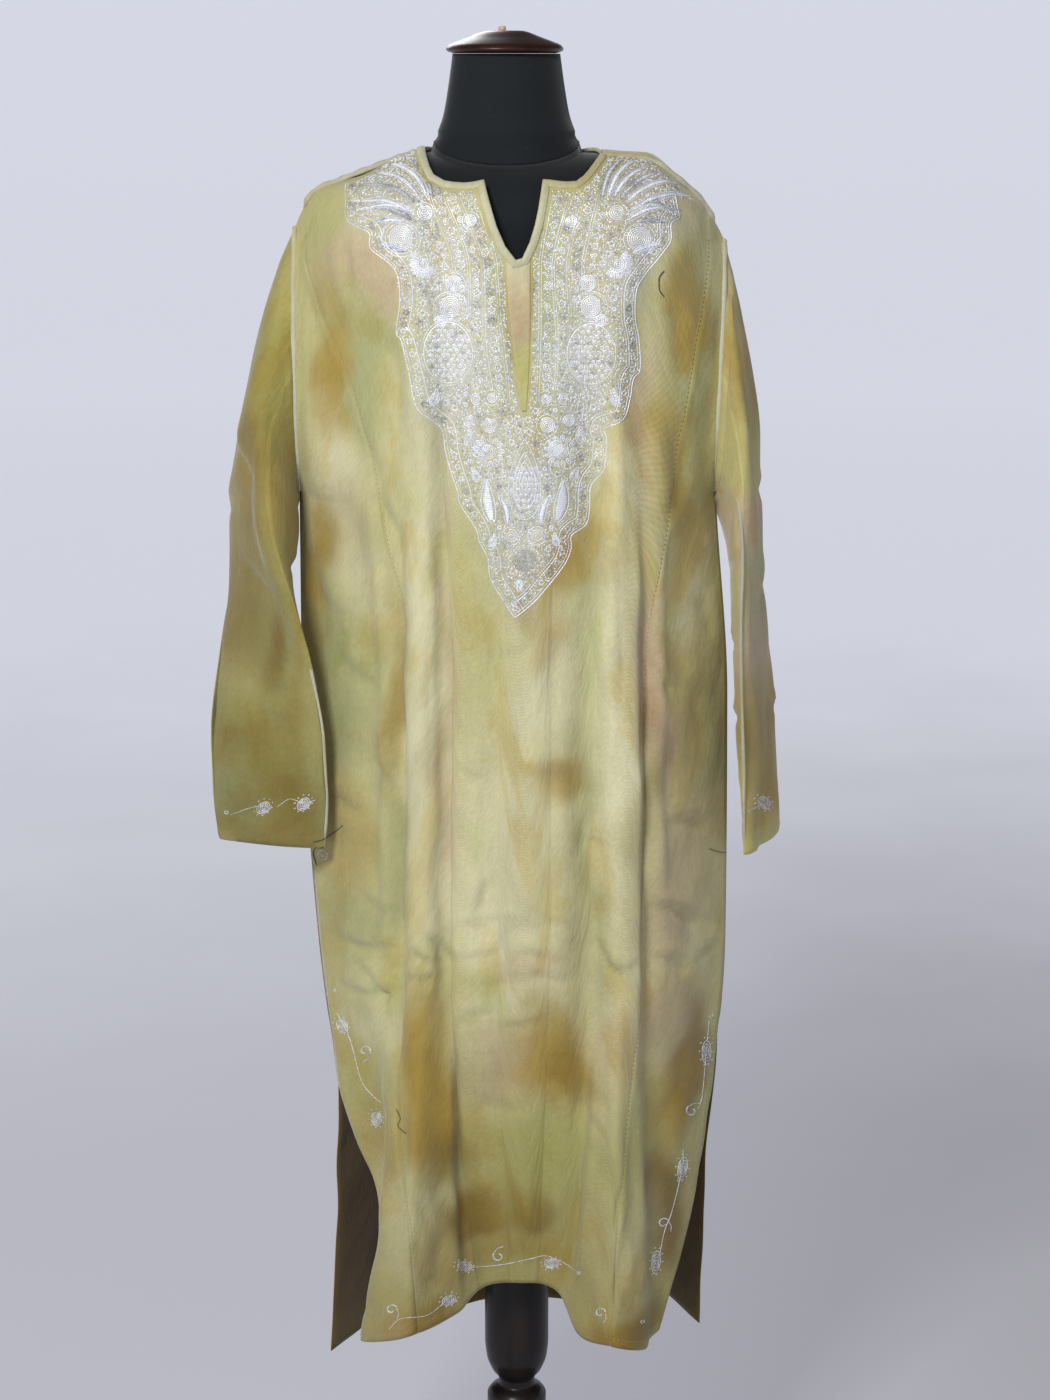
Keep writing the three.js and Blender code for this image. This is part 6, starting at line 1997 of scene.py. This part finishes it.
def motifLines(x, z, kind, turn):
    place = np.array([x, z])
    if kind == "dot":
        return [coil(place, 2.4, 2.8, turn)], 1.2
    if kind == "ring":
        return [oval(place, 4.6, 5.0), coil(place, 2.2, 2.2)], 1.0
    if kind == "curl":
        angle = np.linspace(0, 1.7 * math.pi, 24)
        reach = lerp(6.0, 2.2, angle / angle[-1])
        hook = turned(polar(angle, reach, reach) + [0, 2], place, turn)
        tail = turned([(6.0, 2), (5.2, -5), (1.0, -10)], place, turn)
        return [hook, tail, hook * 0.97 + place * 0.03 + [0.5, 0.4]], 1.1
    wide, high = (5.2, 13.5) if kind == "long" else (5.6, 8.6)
    lines = [coil(place, wide, high, turn, 0.4, 1.25)]
    ring = np.linspace(0, 2 * math.pi, 10, endpoint=False)
    for angle in ring:
        rim = [((wide + 1.6) * math.cos(angle), (high + 1.6) * math.sin(angle))]
        spot = turned(rim, place, turn)[0]
        lines.append(coil(spot, 1.1, 1.1))
    return lines, 1.25


def addSmallMotifs():
    tree = BVHTree.FromPolygons(*worldMesh(clothNames))
    lines, widths = [], []
    for x, z, kind, turn in smallMotifs:
        drawn, width = motifLines(x, z, kind, turn)
        lines += [evenly(line, 1.2) for line in drawn]
        widths += [width] * len(drawn)
    for vine in vines:
        lines.append(splineThrough(vine, 1.2))
        widths.append(0.85)
    spots, normals, starts, widths = layAll(tree, lines, widths)
    tones = 0.72 + np.random.default_rng(8).normal(0, 0.18, len(spots))
    layThread("tilla_hem_motifs", spots, normals, starts, widths, tones, tillaLook, 0.6)

    # Loose ends: a brown one on the breast, a dark one at the left cuff, one by the right slit.
    loose = [
        (
            [(139.1, 1378.3), (134.9, 1372.5), (134.5, 1366.2), (135.2, 1360.0), (139.4, 1354.0)],
            1.3,
        ),
        ([(-199.0, 823.2), (-188.0, 826.5), (-176.0, 834.5), (-169.2, 840.4)], 0.9),
        ([(-196.0, 819.0), (-198.5, 812.0), (-195.5, 800.0)], 0.8),
        ([(189.5, 816.7), (200.0, 813.4), (208.2, 812.8)], 0.9),
        ([(-119.9, 546.1), (-116.0, 536.0), (-118.5, 528.0), (-110.2, 519.8)], 0.7),
    ]
    lines = [splineThrough(points, 1.2) for points, _ in loose]
    widths = [width for _, width in loose]
    spots, normals, starts, widths = layAll(tree, lines, widths)
    spots = spots + normals * 0.2
    tones = np.ones(len(spots))
    layThread("loose_threads", spots, normals, starts, widths, tones, brownThread, 0.8, 0.0)
    print("small motifs")


hemStitch = {
    "in": 9.5, "slitIn": 0.12, "seamIn": 0.035, "pitch": 1.15, "points": 3, "lift": 0.35,
    "width": 0.75,
}


def dashes(spots, normals):
    # Cuts an even line into stitches by leaving out the last point of each.
    place = np.arange(len(spots)) % (hemStitch["points"] + 1)
    keep = place < hemStitch["points"]
    return spots[keep], normals[keep], place[keep] == 0


def addHemStitches():
    rows = []
    for side in (front, back):
        s = np.linspace(0.04, side.last - 0.04, 900)
        rows.append((side, side.point, s, side.wAt(s, side.hemZ(s)) - hemStitch["in"]))
    # The slits' edges, from just under their tops down to the hem.
    for side in (front, back):
        for edge in (hemStitch["slitIn"], side.last - hemStitch["slitIn"]):
            top = side.wAt(np.array(edge), cloth["slitTopZ"] - 4)
            bottom = side.wAt(np.array(edge), side.hemZ(np.array(edge))) - 10
            w = np.linspace(float(top), float(bottom), 300)
            rows.append((side, side.point, np.full(300, edge), w))
    for line, sign in ((frontSeamLeft, 1), (frontSeamRight, -1)):
        z = np.linspace(1405, 330, 1100)
        s = line(z) + sign * hemStitch["seamIn"]
        rows.append((front, front.point, s, front.wAt(s, z)))
    pieces = []
    for side, point, s, w in rows:
        spots = clothSurface(side, point, s, w)
        normals = outward(side, point, s, w)
        length = np.concatenate([[0], np.cumsum(np.linalg.norm(np.diff(spots, axis=0), axis=1))])
        at = np.arange(0, length[-1], hemStitch["pitch"])
        spots, normals = (
            np.stack([np.interp(at, length, values[:, k]) for k in range(3)], axis=1)
            for values in (spots, normals)
        )
        normals = unit(normals)
        pieces.append(dashes(spots + normals * hemStitch["lift"], normals))
    spots, normals, starts = (np.concatenate([piece[k] for piece in pieces]) for k in range(3))
    widths, tones = np.full(len(spots), hemStitch["width"]), np.ones(len(spots))
    layThread("hem_stitches", spots, normals, starts, widths, tones, seamThread, 0.3, 0.0, 0.3)
    print("hem stitches", len(spots))


def addRoll(name, spots, normals, width, rise, slot, shade):
    # A rolled seam: an oval along a line on the cloth, flatter below, with tapered ends.
    ahead = unit(np.gradient(spots, axis=0))
    side = unit(np.cross(normals, ahead))
    angle = np.linspace(0, 2 * math.pi, 12, endpoint=False)
    across = np.cos(angle) * width / 2
    up = np.sin(angle) * rise * np.where(np.sin(angle) > 0, 1, 0.5)
    wave = 1 + 0.12 * np.sin(np.linspace(0, 40, len(spots)))[:, None]
    order = np.arange(len(spots))
    taper = ease(np.minimum(order, order[::-1]) / 5 + 0.15)[:, None]
    rings = (
        spots[:, None] + side[:, None] * (across[None] * wave * taper)[..., None]
        + normals[:, None] * (up[None] * wave * taper)[..., None]
    )
    piece = addTube(name, rings, twillLook)
    dress(piece, rings[..., [0, 2]], dyeAndShadeAt(rings[..., 0], rings[..., 2], foldDye, 0) * shade)
    ride(piece, slot)


foldDye = [(-200, 1150, 200, 700, "silver", 0.75), (200, 1150, 200, 700, "silver", 0.7)]
sleeveFold = {"inwards": {"left": 0.34, "right": 0.3}, "forward": -0.6, "width": 3.2, "rise": 1.3}


def addSeamRolls():
    for which, edgeLine, outwards in (("left", 0.0, -1), ("right", float(front.last), 1)):
        angle = np.linspace(0.42 * math.pi, 1.44 * math.pi, 150)
        edge = armholeRing(edgeLine, outwards, angle, 0.0)
        middle = edge.mean(axis=0) * [1, 0, 1]
        normals = unit((edge - middle) * [0, 1, 0.6] / 60 + np.array([outwards * 0.75, -0.35, 0]))
        slot = "sleeve_" + which
        addRoll("armhole_roll_" + which, edge - normals * 0.6, normals, 5.6, 2.6, slot, 0.9)
        x = np.linspace(-205, -92, 90) if which == "left" else np.linspace(84, 192, 90)
        s = front.lineAt(x)
        w = seamDrop(x)
        spots = front.point(s, w + 2.0)
        normals = outward(front, front.point, s, w + 2.0)
        spots = spots + normals * 0.4
        addRoll("shoulder_roll_" + which, spots, normals, 6.4, 3.6, "back_center", 0.82)
    # The pressed fold at each sleeve's inner front edge.
    along = np.linspace(0.08, 0.985, 200)
    for which, shade in (("left", 0.92), ("right", 0.8)):
        turn = math.pi * (1 + sleeveFold["inwards"][which] * (1 - ease(along / 0.62)))
        spots = sleeveSurface(which, along, turn)
        beside = (sleeveSurface(which, along, turn + away) for away in (-0.9, 0.9))
        normals = unit(unit(spots - 0.5 * sum(beside)) + np.array([0, sleeveFold["forward"], 0]))
        spots = spots - normals * 0.5
        size = (sleeveFold["width"], sleeveFold["rise"])
        addRoll("fold_roll_" + which, spots, normals, *size, "sleeve_" + which, shade)
    print("rolled seams")


addSmallMotifs()
addHemStitches()
addSeamRolls()
studio = {"flat": 11.0, "curve": 3.0, "height": 5.0, "around": 48}


def addStudio():
    # A round floor that curves up into a low wall: the profile is turned about the part.
    t = np.linspace(0, math.pi / 2, 12)
    bend = studio["flat"] + studio["curve"] * np.sin(t)
    across = np.concatenate([[0.001, 2.0, 6.0], bend]) * 1000
    up = np.concatenate([[0, 0, 0], studio["curve"] * (1 - np.cos(t))]) * 1000
    across, up = np.append(across, across[-1]), np.append(up, studio["height"] * 1000)
    angle = np.linspace(0, 2 * math.pi, studio["around"])
    vertices = np.stack([
        across[:, None] * np.cos(angle), across[:, None] * np.sin(angle),
        np.broadcast_to(up[:, None], (len(up), len(angle))),
    ], axis=-1)
    floor = makeMesh("studio_floor", vertices, gridFaces(len(up), len(angle)), floorLook)
    floor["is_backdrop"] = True


lights = [  # name, place, aimed at, size, power, colour
    ("keyLight", (-0.95, -2.45, 2.9), (0.0, 0.0, 1.15), (0.7, 0.55), 76.0, (1.0, 0.985, 0.955)),
    ("fillLight", (1.6, -3.0, 1.9), (0.0, 0.0, 1.0), (0.9, 1.2), 6.0, (0.97, 0.98, 1.0)),
    ("backLight", (-0.9, 3.0, 2.8), (0.0, 0.0, 1.1), (1.6, 1.2), 34.0, (0.98, 0.99, 1.0)),
]


def addLights():
    for name, place, aim, size, power, colour in lights:
        data = bpy.data.lights.new(name, "AREA")
        data.shape = "RECTANGLE"
        data.size, data.size_y = size
        data.energy, data.color = power, colour
        lamp = bpy.data.objects.new(name, data)
        lamp.location = place
        lamp.rotation_euler = (Vector(aim) - Vector(place)).to_track_quat("-Z", "Y").to_euler()
        scene.collection.objects.link(lamp)
    world = bpy.data.worlds.new("softRoom")
    world.use_nodes = True
    sky = world.node_tree.nodes["Background"].inputs
    sky["Color"].default_value, sky["Strength"].default_value = (0.96, 0.95, 0.95, 1.0), 0.10
    scene.world = world


addStudio()
addLights()

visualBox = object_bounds()
boxes = [[[float(v) for v in corner] for corner in box] for box in (cadBox, visualBox)]
